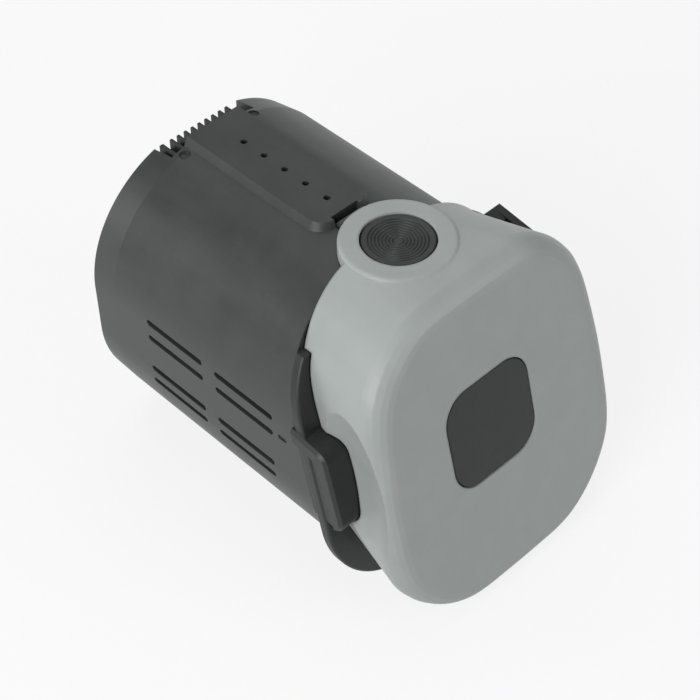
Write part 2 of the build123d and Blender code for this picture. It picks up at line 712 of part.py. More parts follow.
hook_outer_x = CAP_REAR_HALF - CAP_SIDE_WALL
hook_inner_x = hook_outer_x - HOOK_THICKNESS
with BuildPart() as front_frame:
    collar_outline = rounded_outline(
        HALF_WIDTH + COLLAR_SIDE, 0, HEIGHT, COLLAR_LOW_RADIUS, COLLAR_HIGH_RADIUS,
    )
    add(layer(collar_outline, FRAME_FRONT_FLOOR_Y + COLLAR_DEPTH, FRAME_FRONT_FLOOR_Y))
    along_seam = front_frame.faces().sort_by(SEAM_AXIS)
    fillet(along_seam[-1].edges() + along_seam[0].edges(), COLLAR_EDGE)
    add(layer(sleeve_outline(), FRAME_REAR_FLOOR_Y, FRAME_FRONT_FLOOR_Y + COLLAR_DEPTH / 2))
    add(layer(spigot_ring.sketch, FRAME_REAR_FLOOR_Y + SPIGOT_DEPTH, FRAME_REAR_FLOOR_Y - SEAM))
    # Room in the frame's face for the visor of the cap
    visor_depths = (VISOR_FLOOR_Y + SEAM, FRAME_FRONT_FLOOR_Y - FRAME_DEPTH)
    add(layered_block((-FAR, FAR), (VISOR_FLOOR_Z - SEAM, FAR), *visor_depths), mode=Mode.SUBTRACT)
    add(grip.part)
    mirror(grip.part, about=Plane.YZ)
    add(keying_lug.part)
    with BuildSketch(station(REAR_Y)):
        add(rounded_outline(OPENING_HALF_WIDTH, OPENING_LOW, OPENING_HIGH, OPENING_RADIUS, OPENING_RADIUS))
    extrude(amount=FAR, mode=Mode.SUBTRACT)
    notch_heights = (OPENING_HIGH - OPENING_RADIUS, FAR)
    add(block((-NOTCH_RADIUS, NOTCH_RADIUS), (-FAR, FAR), notch_heights), mode=Mode.SUBTRACT)
    for side in (-1, 1):
        for boss_x, boss_z in BOSS_PLACES:
            seat_y = seam_y(FRAME_FRONT_FLOOR_Y, boss_z) + SCREW_SEAT
            with BuildSketch(station(REAR_Y)):
                with Locations((side * boss_x, boss_z)):
                    Circle(SCREW_RADIUS + SCREW_CLEARANCE)
            extrude(amount=FAR, mode=Mode.SUBTRACT)
            with BuildSketch(station(seat_y)):
                with Locations((side * boss_x, boss_z)):
                    Circle(SCREW_HEAD_RADIUS + SCREW_CLEARANCE)
            extrude(amount=FAR, mode=Mode.SUBTRACT)
        for hook_z in HOOK_HEIGHTS:
            slot_inner_x = side * (hook_inner_x - HOOK_NOSE - HOOK_CLEARANCE)
            slot_outer_x = side * (hook_outer_x + HOOK_CLEARANCE)
            add(block(
                sorted((slot_inner_x, slot_outer_x)),
                (-FAR, FAR),
                (hook_z - HOOK_HALF_HEIGHT - HOOK_CLEARANCE, hook_z + HOOK_HALF_HEIGHT + HOOK_CLEARANCE),
            ), mode=Mode.SUBTRACT)
save(front_frame.part, "front_frame")


# Hollow of the cap
with BuildPart() as cap_hollow:
    with BuildSketch(seam_plane(VISOR_FLOOR_Y + SEAM)):
        add(leaned(cap_rear_outline(CAP_WALL, CAP_SIDE_WALL - CAP_WALL)))
    with BuildSketch(seam_plane(FACE_FLOOR_Y + CAP_FACE_WALL * STRETCH)):
        add(leaned(cap_front_outline(CAP_WALL, CAP_CHEEK)))
    loft()

# Outer form of the cap: from its rear section to a front edge rounded in steps
cap_edge_floor_y = FACE_FLOOR_Y + CAP_EDGE_RADIUS * STRETCH
with BuildPart() as cap_form:
    for rear_floor_y in (VISOR_FLOOR_Y, CAP_REAR_FLOOR_Y):
        with BuildSketch(seam_plane(rear_floor_y)):
            add(leaned(cap_rear_outline()))
    for step in range(CAP_EDGE_STEPS + 1):
        turn = pi / 2 * step / CAP_EDGE_STEPS
        with BuildSketch(seam_plane(cap_edge_floor_y - CAP_EDGE_RADIUS * STRETCH * sin(turn))):
            add(leaned(cap_front_outline(CAP_EDGE_RADIUS * (1 - cos(turn)))))
    loft(ruled=True)
    add(cap_hollow.part, mode=Mode.SUBTRACT)
    # Below the visor the rear edge stands further forward
    step_back = layered_block((-FAR, FAR), (-FAR, VISOR_FLOOR_Z), VISOR_FLOOR_Y + SEAM, CAP_REAR_FLOOR_Y)
    add(step_back, mode=Mode.SUBTRACT)

# Ring round the button, and the well that holds its spring
with BuildPart() as button_well:
    with BuildSketch(station(BUTTON_Y)) as well_section:
        with BuildLine():
            Polyline(
                (STEM_RADIUS + STEM_CLEARANCE, WELL_FLOOR_LOW),
                (WELL_RADIUS, WELL_FLOOR_LOW),
                (WELL_RADIUS, RING_LOW),
                (RING_RADIUS, RING_LOW),
                (RING_RADIUS, RING_TOP),
                (BUTTON_RADIUS + BUTTON_GAP, RING_TOP),
                (BUTTON_RADIUS + BUTTON_GAP, WELL_FLOOR_TOP),
                (STEM_RADIUS + STEM_CLEARANCE, WELL_FLOOR_TOP),
                close=True,
            )
        make_face()
        rim_corners = well_section.vertices().group_by(Axis.Y)[-1].sort_by(Axis.X)
        fillet(rim_corners[-1], RING_EDGE)
        chamfer(rim_corners[0], RING_EDGE / 6)
    revolve(axis=Axis((0, BUTTON_Y, 0), (0, 0, 1)))

# Barrel that cuts the finger scoop
with BuildPart() as scoop:
    with BuildSketch(Plane.XZ):
        with BuildLine():
            end_radius = SCOOP_RADIUS - SCOOP_DRAW_IN
            ThreePointArc((end_radius, -SCOOP_HALF_LENGTH), (SCOOP_RADIUS, 0), (end_radius, SCOOP_HALF_LENGTH))
            Polyline(
                (end_radius, SCOOP_HALF_LENGTH),
                (0, SCOOP_HALF_LENGTH),
                (0, -SCOOP_HALF_LENGTH),
                (end_radius, -SCOOP_HALF_LENGTH),
            )
        make_face()
    revolve(axis=Axis.Z)

# End cap: lofted shell with visor, button ring, well, pivot lugs, hooks and posts
with BuildPart() as end_cap:
    add(cap_form.part)
    with BuildSketch(Plane.XY.offset(WELL_FLOOR_TOP)):
        with Locations((0, BUTTON_Y)):
            Circle(WELL_RADIUS)
    extrude(amount=FAR, mode=Mode.SUBTRACT)
    add(button_well.part)
    for side in (-1, 1):
        lug_x = sorted((
            side * (LEVER_HALF_WIDTH + LUG_CLEARANCE),
            side * (LEVER_HALF_WIDTH + LUG_CLEARANCE + LUG_THICKNESS),
        ))
        add(block(
            lug_x,
            (PIVOT_Y - PIVOT_RADIUS - LUG_RIM, PIVOT_Y + PIVOT_RADIUS + LUG_RIM / 2),
            (PIVOT_Z - PIVOT_RADIUS - LUG_RIM, CAP_FRONT_HIGH - CAP_WALL / 3),
        ))
        for hook_z in HOOK_HEIGHTS:
            low = hook_z - HOOK_HALF_HEIGHT
            high = hook_z + HOOK_HALF_HEIGHT
            nose_floor_y = FRAME_REAR_FLOOR_Y + HOOK_GAP
            add(layered_block(
                sorted((side * hook_inner_x, side * hook_outer_x)), (low, high),
                nose_floor_y + HOOK_NOSE_DEPTH, CAP_REAR_FLOOR_Y - HOOK_ROOT,
            ))
            add(layered_block(
                sorted((side * hook_inner_x, side * (hook_outer_x + HOOK_NOSE))), (low, high),
                nose_floor_y + HOOK_NOSE_DEPTH, nose_floor_y,
            ))
            add(layered_block(
                sorted((side * hook_inner_x, side * (hook_outer_x + HOOK_ROOT_REACH))), (low, high),
                CAP_REAR_FLOOR_Y, CAP_REAR_FLOOR_Y - HOOK_ROOT,
            ))
        # Pocket in the cap's side for the grip
        with BuildSketch(Plane.YZ.offset(side * (GRIP_INNER_X - GRIP_CLEARANCE))):
            add(grip_profile(GRIP_CLEARANCE))
        extrude(amount=side * FAR, mode=Mode.SUBTRACT)
    scoop_y = seam_y(FRAME_FRONT_FLOOR_Y - GRIP_REACH - SCOOP_LEAD, SCOOP_MIDDLE_Z)
    with Locations((-SCOOP_FLOOR_X - SCOOP_RADIUS, scoop_y, SCOOP_MIDDLE_Z)):
        add(scoop.part, rotation=(-FACE_LEAN, 0, 0), mode=Mode.SUBTRACT)
    with BuildSketch(Plane.YZ):
        with Locations((PIVOT_Y, PIVOT_Z)):
            Circle(PIVOT_RADIUS + PIN_FIT)
    extrude(amount=LEVER_HALF_WIDTH + LUG_CLEARANCE + LUG_THICKNESS, both=True, mode=Mode.SUBTRACT)
    # Window opening through the face, and posts for the light board
    with BuildSketch(face_plane(CAP_FACE_WALL * 2)):
        window_hole = WINDOW_SIDE + 2 * WINDOW_GAP
        RectangleRounded(window_hole, window_hole, WINDOW_RADIUS + WINDOW_GAP)
    extrude(amount=FAR, mode=Mode.SUBTRACT)
    with BuildSketch(face_plane(led_board_front)):
        with GridLocations(2 * POST_X, 2 * POST_Z, 2, 2):
            Circle(POST_RADIUS)
    extrude(amount=led_board_front - CAP_FACE_WALL / 2)
    with BuildSketch(face_plane(led_board_front)):
        with GridLocations(2 * POST_X, 2 * POST_Z, 2, 2):
            Circle(SMALL_SCREW_RADIUS + SCREW_FIT)
    extrude(amount=SMALL_SCREW_LENGTH, mode=Mode.SUBTRACT)
save(end_cap.part, "end_cap")

# Charge window: a plug in the cap's face with a flange glued behind it
with BuildPart() as charge_window:
    with BuildSketch(face_plane(CAP_FACE_WALL + ADHESIVE_THICKNESS)):
        RectangleRounded(WINDOW_SIDE, WINDOW_SIDE, WINDOW_RADIUS)
    extrude(amount=CAP_FACE_WALL + ADHESIVE_THICKNESS - WINDOW_SINK)
    fillet(charge_window.faces().sort_by(SEAM_AXIS)[-1].edges(), WINDOW_EDGE)
    with BuildSketch(face_plane(flange_rear)):
        RectangleRounded(flange_side, flange_side, WINDOW_RADIUS + FLANGE_MARGIN)
    extrude(amount=FLANGE_THICKNESS)
save(charge_window.part, "charge_window")

with BuildPart() as window_adhesive:
    with BuildSketch(face_plane(CAP_FACE_WALL + ADHESIVE_THICKNESS)):
        RectangleRounded(flange_side, flange_side, WINDOW_RADIUS + FLANGE_MARGIN)
        opening_side = WINDOW_SIDE + 2 * WINDOW_GAP
        RectangleRounded(opening_side, opening_side, WINDOW_RADIUS + WINDOW_GAP, mode=Mode.SUBTRACT)
    extrude(amount=ADHESIVE_THICKNESS)
save(window_adhesive.part, "window_adhesive")

# Light guide on four feet that stand on the light board
foot_place = GUIDE_SIDE / 2 - 2 * GUIDE_FOOT_RADIUS
with BuildPart() as light_guide:
    with BuildSketch(face_plane(guide_front + GUIDE_THICKNESS)):
        RectangleRounded(GUIDE_SIDE, GUIDE_SIDE, WINDOW_RADIUS - FLANGE_MARGIN * 2)
    extrude(amount=GUIDE_THICKNESS)
    with BuildSketch(face_plane(led_board_front)):
        with GridLocations(2 * foot_place, 2 * foot_place, 2, 2):
            Circle(GUIDE_FOOT_RADIUS)
    extrude(amount=led_board_front - guide_front - GUIDE_THICKNESS / 2)
save(light_guide.part, "light_guide")

with BuildPart() as leds:
    with BuildSketch(face_plane(led_board_front)):
        with GridLocations(LED_SPREAD, LED_SPREAD / 2, 2, 3):
            Rectangle(LED_SIDE, LED_SIDE)
    extrude(amount=LED_HEIGHT)
save(leds.part, "leds")

with BuildPart() as led_board:
    with BuildSketch(face_plane(led_board_rear)):
        RectangleRounded(LED_BOARD_WIDTH, LED_BOARD_HEIGHT, POST_RADIUS)
        with GridLocations(2 * POST_X, 2 * POST_Z, 2, 2):
            Circle(SMALL_SCREW_RADIUS + SCREW_CLEARANCE, mode=Mode.SUBTRACT)
    extrude(amount=LED_BOARD_THICKNESS)
save(led_board.part, "led_board")


def screw(plane, radius, length, head_radius, head_height):
    """Pan-head screw whose seat lies on the plane and whose head stands on its front side."""
    with BuildPart(plane) as fastener:
        with BuildSketch(plane):
            Circle(head_radius)
        extrude(amount=head_height)
        fillet(fastener.faces().sort_by(Axis(plane.origin, plane.z_dir))[-1].edges(), head_height * 0.45)
        with BuildSketch(plane.offset(head_height)):
            Rectangle(head_radius * 1.3, head_radius * 0.28)
            Rectangle(head_radius * 0.28, head_radius * 1.3)
        extrude(amount=-head_height * 0.5, mode=Mode.SUBTRACT)
        with BuildSketch(plane):
            Circle(radius)
        extrude(amount=-length)
        chamfer(fastener.faces().sort_by(Axis(plane.origin, plane.z_dir))[0].edges(), radius * 0.4)
    return fastener.part


with BuildPart() as led_board_screws:
    for post_x in (-POST_X, POST_X):
        for post_z in (-POST_Z, POST_Z):
            rear = face_plane(led_board_rear)
            seat = Plane(
                origin=rear.from_local_coords((post_x, post_z, 0)), x_dir=rear.x_dir, z_dir=-rear.z_dir,
            )
            add(screw(seat, *SMALL_SCREW))
save(led_board_screws.part, "led_board_screws")

with BuildPart() as frame_screws:
    for side in (-1, 1):
        for boss_x, boss_z in BOSS_PLACES:
            seat_y = seam_y(FRAME_FRONT_FLOOR_Y, boss_z) + SCREW_SEAT
            seat = Plane(origin=(side * boss_x, seat_y, boss_z), x_dir=(1, 0, 0), z_dir=(0, -1, 0))
            add(screw(seat, SCREW_RADIUS, SCREW_LENGTH, SCREW_HEAD_RADIUS, SCREW_HEAD))
save(frame_screws.part, "frame_screws")

# Release button: dished crown with ring grooves, skirt, and a stem that snaps through the lever
dish_radius = (BUTTON_RADIUS ** 2 + BUTTON_DISH ** 2) / (2 * BUTTON_DISH)
neck_low = PIVOT_Z - LEVER_THICKNESS / 2 - NECK_GAP
with BuildPart() as release_button:
    with BuildSketch(station(BUTTON_Y)) as button_section:
        with BuildLine():
            Polyline(
                (0, BUTTON_TOP),
                (0, neck_low - STEM_HEAD),
                (NECK_RADIUS * 0.7, neck_low - STEM_HEAD),
                (STEM_HEAD_RADIUS, neck_low - STEM_HEAD * 0.4),
                (STEM_HEAD_RADIUS, neck_low),
                (NECK_RADIUS, neck_low),
                (NECK_RADIUS, STEM_LOW),
                (STEM_RADIUS - STEM_EDGE, STEM_LOW),
                (STEM_RADIUS, STEM_LOW + STEM_EDGE),
                (STEM_RADIUS, SPRING_TOP),
                (BUTTON_RADIUS - BUTTON_SKIRT, SPRING_TOP),
                (BUTTON_RADIUS - BUTTON_SKIRT, BUTTON_LOW),
                (BUTTON_RADIUS, BUTTON_LOW),
                (BUTTON_RADIUS, BUTTON_TOP),
                close=True,
            )
        make_face()
        fillet(button_section.vertices().group_by(Axis.Y)[-1].sort_by(Axis.X)[-1], BUTTON_EDGE)
    revolve(axis=Axis((0, BUTTON_Y, 0), (0, 0, 1)))
    with Locations((0, BUTTON_Y, BUTTON_TOP - BUTTON_DISH + dish_radius)):
        Sphere(dish_radius, mode=Mode.SUBTRACT)
    for groove in range(GROOVE_COUNT):
        groove_radius = GROOVE_FIRST + groove * GROOVE_PITCH
        groove_z = BUTTON_TOP - BUTTON_DISH + dish_radius - (dish_radius ** 2 - groove_radius ** 2) ** 0.5
        with BuildSketch(station(BUTTON_Y)):
            with Locations((groove_radius, groove_z)):
                Circle(GROOVE_DEPTH)
        revolve(axis=Axis((0, BUTTON_Y, 0), (0, 0, 1)), mode=Mode.SUBTRACT)
save(release_button.part, "release_button")

# Button spring: one unbroken coil with its ends inside the well's height
spring_low = WELL_FLOOR_TOP + SPRING_WIRE + SPRING_CLEARANCE
spring_height = SPRING_TOP - SPRING_WIRE - SPRING_CLEARANCE - spring_low
with BuildPart() as button_spring:
    with BuildLine():
        coil = Helix(
            spring_height / SPRING_TURNS, spring_height, SPRING_RADIUS, center=(0, BUTTON_Y, spring_low)
        )
    with BuildSketch(Plane(origin=coil @ 0, z_dir=coil % 0)):
        Circle(SPRING_WIRE)
    sweep()
save(button_spring.part, "button_spring")
coil_step = 1 / (SPRING_TURNS * COIL_SAMPLES)
coil_turn = [coil @ (i * coil_step) for i in range(COIL_SAMPLES // 2)]
coil_next = [coil @ ((i + COIL_SAMPLES) * coil_step) for i in range(-6, COIL_SAMPLES // 2 + 6)]
coil_gap = min((a - b).length for a in coil_turn for b in coil_next) - 2 * SPRING_WIRE
print("least gap between the spring's turns", round(coil_gap, 3))

# Latch lever: hub on the pin, arm under the button, catch at the rear end
arm_low = PIVOT_Z - LEVER_THICKNESS / 2
catch_rear_y = CATCH_FRONT_Y + CATCH_DEPTH
with BuildPart() as latch_lever:
    with BuildSketch(Plane.YZ):
        with BuildLine():
            Polyline(
                (PIVOT_Y, arm_low),
                (catch_rear_y, arm_low),
                (catch_rear_y, CATCH_TOP - CATCH_STEP),
                (CATCH_FRONT_Y + CATCH_DEPTH / 2, CATCH_TOP),
                (CATCH_FRONT_Y, CATCH_TOP),
                (CATCH_FRONT_Y, LEVER_TOP),
                (PIVOT_Y, LEVER_TOP),
                close=True,
            )
        make_face()
        with Locations((PIVOT_Y, PIVOT_Z)):
            Circle(LEVER_HUB_RADIUS)
            Circle(PIVOT_RADIUS + PIVOT_CLEARANCE, mode=Mode.SUBTRACT)
    extrude(amount=LEVER_HALF_WIDTH, both=True)
    with BuildSketch(Plane.XY):
        with Locations((0, BUTTON_Y)):
            SlotOverall(2 * (NECK_RADIUS + NECK_GAP + LEVER_GAP), 2 * (NECK_RADIUS + LEVER_GAP), rotation=90)
    extrude(amount=FAR, mode=Mode.SUBTRACT)
save(latch_lever.part, "latch_lever")

with BuildPart() as latch_pin:
    with BuildSketch(Plane.YZ):
        with Locations((PIVOT_Y, PIVOT_Z)):
            Circle(PIVOT_RADIUS)
    extrude(amount=LEVER_HALF_WIDTH + LUG_CLEARANCE + LUG_THICKNESS, both=True)
    chamfer(latch_pin.edges().filter_by(GeomType.CIRCLE), PIVOT_RADIUS / 5)
save(latch_pin.part, "latch_pin")

# Cells and their places: upper right, right, lower right, lower left, left, middle, upper left
HEX_TURNS = (60, 0, -60, -120, 180, None, 120)
cell_places = []
for turn in HEX_TURNS:
    reach = 0 if turn is None else CELL_PITCH
    angle = radians(turn or 0)
    cell_places.append((reach * cos(angle), CELL_MIDDLE_Z + reach * sin(angle)))
for number, (cell_x, cell_z) in enumerate(cell_places, start=1):
    facing = 1 if number % 2 else -1
    with BuildPart() as cell:
        with BuildSketch(station(CELL_REAR_Y)):
            with Locations((cell_x, cell_z)):
                Circle(CELL_RADIUS)
        extrude(amount=CELL_LENGTH)
        ends = cell.edges().filter_by(GeomType.CIRCLE).sort_by(Axis.Y)
        fillet(ends[-1] if facing > 0 else ends[0], CELL_SHOULDER)
        fillet(ends[0] if facing > 0 else ends[-1], CELL_SHOULDER / 2)
        plus_y = CELL_REAR_Y if facing > 0 else CELL_FRONT_Y
        with BuildSketch(station(plus_y)):
            with Locations((cell_x, cell_z)):
                Circle(CELL_RADIUS - CELL_SHOULDER * 1.5)
                Circle(CELL_TERMINAL_RADIUS, mode=Mode.SUBTRACT)
        extrude(amount=facing * CELL_GROOVE, mode=Mode.SUBTRACT)
    save(cell.part, f"cell_{number}")


# The control board's ends and screw rows, which the holders share
board_front_y = CELL_FRONT_Y + BOARD_END_GAP
board_rear_y = CELL_REAR_Y - BOARD_END_GAP
board_screw_rows = (board_front_y + BOARD_SCREW_INSET, board_rear_y - BOARD_SCREW_INSET)


def cell_holder(rear_y, screw_y):
    """Spacer round one end of the cells, with a flat top for the board's screws at screw_y."""
    with BuildPart() as holder:
        with BuildSketch(station(rear_y)):
            with Locations((0, CELL_MIDDLE_Z)):
                Circle(HOLDER_RADIUS)
            with Locations((0, (SADDLE_TOP + SADDLE_LOW) / 2)):
                Rectangle(2 * SADDLE_HALF_WIDTH, SADDLE_TOP - SADDLE_LOW)
            with Locations((0, SADDLE_TOP + HOLDER_RADIUS)):
                Rectangle(2 * HOLDER_RADIUS, 2 * HOLDER_RADIUS, mode=Mode.SUBTRACT)
            with Locations(*cell_places):
                Circle(CELL_RADIUS + CELL_FIT, mode=Mode.SUBTRACT)
        extrude(amount=HOLDER_DEPTH)
        with BuildSketch(Plane.XY.offset(SADDLE_TOP)):
            for side in (-1, 1):
                with Locations((side * BOARD_SCREW_X, screw_y)):
                    Circle(SMALL_SCREW_RADIUS + SCREW_FIT)
        extrude(amount=-SMALL_SCREW_LENGTH, mode=Mode.SUBTRACT)
    return holder.part


front_holder = cell_holder(CELL_FRONT_Y + HOLDER_DEPTH, board_screw_rows[0])
save(front_holder, "cell_holder_front")
rear_holder = cell_holder(CELL_REAR_Y, board_screw_rows[1])
save(rear_holder, "cell_holder_rear")


def strip_between(first, second):
    """Flat strip outline that joins two cells, numbered from 1."""
    first_x, first_z = cell_places[first - 1]
    second_x, second_z = cell_places[second - 1]
    lean = degrees(atan2(second_z - first_z, second_x - first_x))
    with BuildSketch() as strip:
        with Locations(((first_x + second_x) / 2, (first_z + second_z) / 2)):
            SlotCenterToCenter(CELL_PITCH, STRIP_WIDTH, rotation=lean)
    return strip.sketch


def lead_out(cell_number):
    """Upright strip outline from a cell to just above the board."""
    cell_x, cell_z = cell_places[cell_number - 1]
    with BuildSketch() as strip:
        with Locations((cell_x, (cell_z + BOARD_TOP + STRIP_THICKNESS) / 2)):
            Rectangle(TAB_WIDTH, BOARD_TOP + STRIP_THICKNESS - cell_z)
        with Locations((cell_x, cell_z)):
            Circle(STRIP_WIDTH / 2)
    return strip.sketch


with BuildPart() as nickel_strips_front:
    with BuildSketch(station(CELL_FRONT_Y)):
        for pair in ((2, 3), (4, 5), (6, 7)):
            add(strip_between(*pair))
        add(lead_out(1))
    extrude(amount=STRIP_THICKNESS)
    out_x = cell_places[0][0]
    add(block(
        (out_x - TAB_WIDTH / 2, out_x + TAB_WIDTH / 2),
        (CELL_FRONT_Y - STRIP_THICKNESS, CELL_FRONT_Y + TAB_LENGTH),
        (BOARD_TOP, BOARD_TOP + STRIP_THICKNESS),
    ))
save(nickel_strips_front.part, "nickel_strips_front")

with BuildPart() as nickel_strips_rear:
    with BuildSketch(station(CELL_REAR_Y + STRIP_THICKNESS)):
        for pair in ((1, 2), (3, 4), (5, 6)):
            add(strip_between(*pair))
        add(lead_out(7))
    extrude(amount=STRIP_THICKNESS)
    out_x = cell_places[-1][0]
    add(block(
        (out_x - TAB_WIDTH / 2, out_x + TAB_WIDTH / 2),
        (CELL_REAR_Y - TAB_LENGTH, CELL_REAR_Y + STRIP_THICKNESS),
        (BOARD_TOP, BOARD_TOP + STRIP_THICKNESS),
    ))
save(nickel_strips_rear.part, "nickel_strips_rear")

with BuildPart() as insulator_front:
    with BuildSketch(station(CELL_FRONT_Y - STRIP_THICKNESS)):
        with Locations((0, CELL_MIDDLE_Z)):
            Circle(INSULATOR_RADIUS)
    extrude(amount=INSULATOR_THICKNESS)
save(insulator_front.part, "insulator_front")

insulator_rear_y = CELL_REAR_Y + STRIP_THICKNESS + INSULATOR_THICKNESS
with BuildPart() as insulator_rear:
    with BuildSketch(station(insulator_rear_y)):
        with Locations((0, CELL_MIDDLE_Z)):
            Circle(INSULATOR_RADIUS)
    extrude(amount=INSULATOR_THICKNESS)
save(insulator_rear.part, "insulator_rear")

with BuildPart() as foam_pad:
    with BuildSketch(station(REAR_WALL_Y - FOAM_GAP)):
        with Locations((0, CELL_MIDDLE_Z)):
            Circle(FOAM_RADIUS)
    extrude(amount=REAR_WALL_Y - FOAM_GAP - insulator_rear_y)
save(foam_pad.part, "foam_pad")

# Control board with its parts
with BuildPart() as control_board:
    with BuildSketch(Plane.XY.offset(SADDLE_TOP)):
        with Locations((0, (board_front_y + board_rear_y) / 2)):
            Rectangle(2 * BOARD_HALF_WIDTH, board_rear_y - board_front_y)
        for screw_y in board_screw_rows:
            for side in (-1, 1):
                with Locations((side * BOARD_SCREW_X, screw_y)):
                    Circle(SMALL_SCREW_RADIUS + SCREW_CLEARANCE, mode=Mode.SUBTRACT)
    extrude(amount=BOARD_THICKNESS)
    fillet(control_board.edges().filter_by(Axis.Z).group_by(Axis.Y)[0], BOARD_CORNER)
    fillet(control_board.edges().filter_by(Axis.Z).group_by(Axis.Y)[-1], BOARD_CORNER)
save(control_board.part, "control_board")

with BuildPart() as board_screws:
    for screw_y in board_screw_rows:
        for side in (-1, 1):
            seat = Plane(origin=(side * BOARD_SCREW_X, screw_y, BOARD_TOP), x_dir=(1, 0, 0), z_dir=(0, 0, 1))
            add(screw(seat, *SMALL_SCREW))
save(board_screws.part, "board_screws")

# Power transistors: body, cooling tab and two legs each
with BuildPart() as board_transistors:
    for column in range(TRANSISTOR_COUNT):
        middle_x = (column - (TRANSISTOR_COUNT - 1) / 2) * TRANSISTOR_PITCH
        body_y = (TRANSISTOR_Y, TRANSISTOR_Y + TRANSISTOR_LENGTH)
        half = TRANSISTOR_WIDTH / 2
        add(block((middle_x - half, middle_x + half), body_y, (BOARD_TOP, BOARD_TOP + TRANSISTOR_HEIGHT)))
        add(block(
            (middle_x - half * 0.85, middle_x + half * 0.85),
            (body_y[1] - LEG_WIDTH, body_y[1] + TAB_REACH),
            (BOARD_TOP, BOARD_TOP + LEG_WIDTH),
        ))
        for side in (-1, 1):
            leg_x = middle_x + side * half * 0.6
            add(block(
                (leg_x - LEG_WIDTH / 2, leg_x + LEG_WIDTH / 2),
                (body_y[0] - LEG_REACH, body_y[0] + LEG_WIDTH),
                (BOARD_TOP, BOARD_TOP + LEG_WIDTH),
            ))
save(board_transistors.part, "board_transistors")

with BuildPart() as board_chips:
    for chip_x, chip_y, chip_length, chip_width in CHIPS:
        half_length = chip_length / 2
        half_width = chip_width / 2
        add(block(
            (chip_x - half_length, chip_x + half_length),
            (chip_y - half_width, chip_y + half_width),
            (BOARD_TOP, BOARD_TOP + CHIP_HEIGHT),
        ))
save(board_chips.part, "board_chips")

# Socket for the light board's cable, open to the front
with BuildPart() as board_connectors:
    add(block(
        (CABLE_X - CONNECTOR_WIDTH / 2, CABLE_X + CONNECTOR_WIDTH / 2),
        (CONNECTOR_Y, CONNECTOR_Y + CONNECTOR_LENGTH),
        (BOARD_TOP, CABLE_HIGH_Z + CONNECTOR_HEIGHT / 2),
    ))
save(board_connectors.part, "board_connectors")

# Thermistor: bead between the two upper cells, on two flat legs under the board
with BuildPart() as thermistor:
    with BuildSketch(Plane.XY.offset(THERMISTOR_Z - THERMISTOR_RADIUS)):
        with Locations((0, THERMISTOR_Y)):
            Circle(THERMISTOR_RADIUS)
    extrude(amount=2 * THERMISTOR_RADIUS)
    with BuildSketch(Plane.XY.offset(THERMISTOR_Z)):
        for side in (-1, 1):
            with Locations((side * THERMISTOR_RADIUS / 2, THERMISTOR_Y)):
                Rectangle(THERMISTOR_LEG, THERMISTOR_LEG)
    extrude(amount=SADDLE_TOP - THERMISTOR_Z)
save(thermistor.part, "thermistor")

# Terminal block: base on the sleeve's shelf, comb of ribs, slots for the contacts
block_half_width = RECESS_HALF_WIDTH - BLOCK_CLEARANCE
rib_places = [RIB_MIDDLE_X + (i - (RIB_COUNT - 1) / 2) * RIB_PITCH for i in range(RIB_COUNT)]
gap_places = [RIB_MIDDLE_X + (i - (RIB_COUNT - 2) / 2) * RIB_PITCH for i in range(RIB_COUNT - 1)]
power_places = (gap_places[0], gap_places[-1])
signal_places = gap_places[2:-2]
with BuildPart() as terminal_block:
    add(block(
        (-block_half_width, block_half_width),
        (BLOCK_FRONT_Y, REAR_Y - BLOCK_CLEARANCE),
        (RECESS_LOW, BLOCK_TOP),
    ))
    for rib_x in rib_places:
        add(block(
            (rib_x - RIB_THICKNESS / 2, rib_x + RIB_THICKNESS / 2),
            (RECESS_FRONT_Y + BLOCK_CLEARANCE, REAR_Y - BLOCK_CLEARANCE),
            (RECESS_LOW, RIB_TOP),
        ))
    add(block(
        (END_RIB_X - END_RIB_THICKNESS / 2, END_RIB_X + END_RIB_THICKNESS / 2),
        (RECESS_FRONT_Y + BLOCK_CLEARANCE, REAR_Y - BLOCK_CLEARANCE),
        (RECESS_LOW, RIB_TOP),
    ))
    for place_x in (*power_places, *signal_places):
        add(block(
            (place_x - CONTACT_THICKNESS / 2 - CONTACT_GAP, place_x + CONTACT_THICKNESS / 2 + CONTACT_GAP),
            (BLOCK_FRONT_Y - 1, REAR_Y - CONTACT_INSET + CONTACT_GAP),
            (CONTACT_LOW, BLOCK_TOP + 1),
        ), mode=Mode.SUBTRACT)
save(terminal_block.part, "terminal_block")

with BuildPart() as power_contacts:
    for place_x in power_places:
        add(block(
            (place_x - CONTACT_THICKNESS / 2, place_x + CONTACT_THICKNESS / 2),
            (BLOCK_FRONT_Y - TAIL_LENGTH / 2, REAR_Y - CONTACT_INSET),
            (CONTACT_LOW, CONTACT_TOP),
        ))
        add(block(
            (place_x - TAIL_HALF, place_x + TAIL_HALF),
            (BLOCK_FRONT_Y - TAIL_LENGTH, BLOCK_FRONT_Y - BLOCK_CLEARANCE),
            (TAIL_Z - TAIL_HALF, TAIL_Z + TAIL_HALF),
        ))
save(power_contacts.part, "power_contacts")

with BuildPart() as signal_contacts:
    for place_x in signal_places:
        add(block(
            (place_x - CONTACT_THICKNESS / 2, place_x + CONTACT_THICKNESS / 2),
            (BLOCK_FRONT_Y - TAIL_LENGTH / 4, REAR_Y - CONTACT_INSET),
            (CONTACT_LOW, CONTACT_TOP),
        ))
        add(block(
            (place_x - CONTACT_THICKNESS / 2, place_x + CONTACT_THICKNESS / 2),
            (BLOCK_FRONT_Y - TAIL_LENGTH / 4, BLOCK_FRONT_Y - BLOCK_CLEARANCE),
            (BOARD_TOP, CONTACT_LOW + CONTACT_THICKNESS),
        ))
save(signal_contacts.part, "signal_contacts")


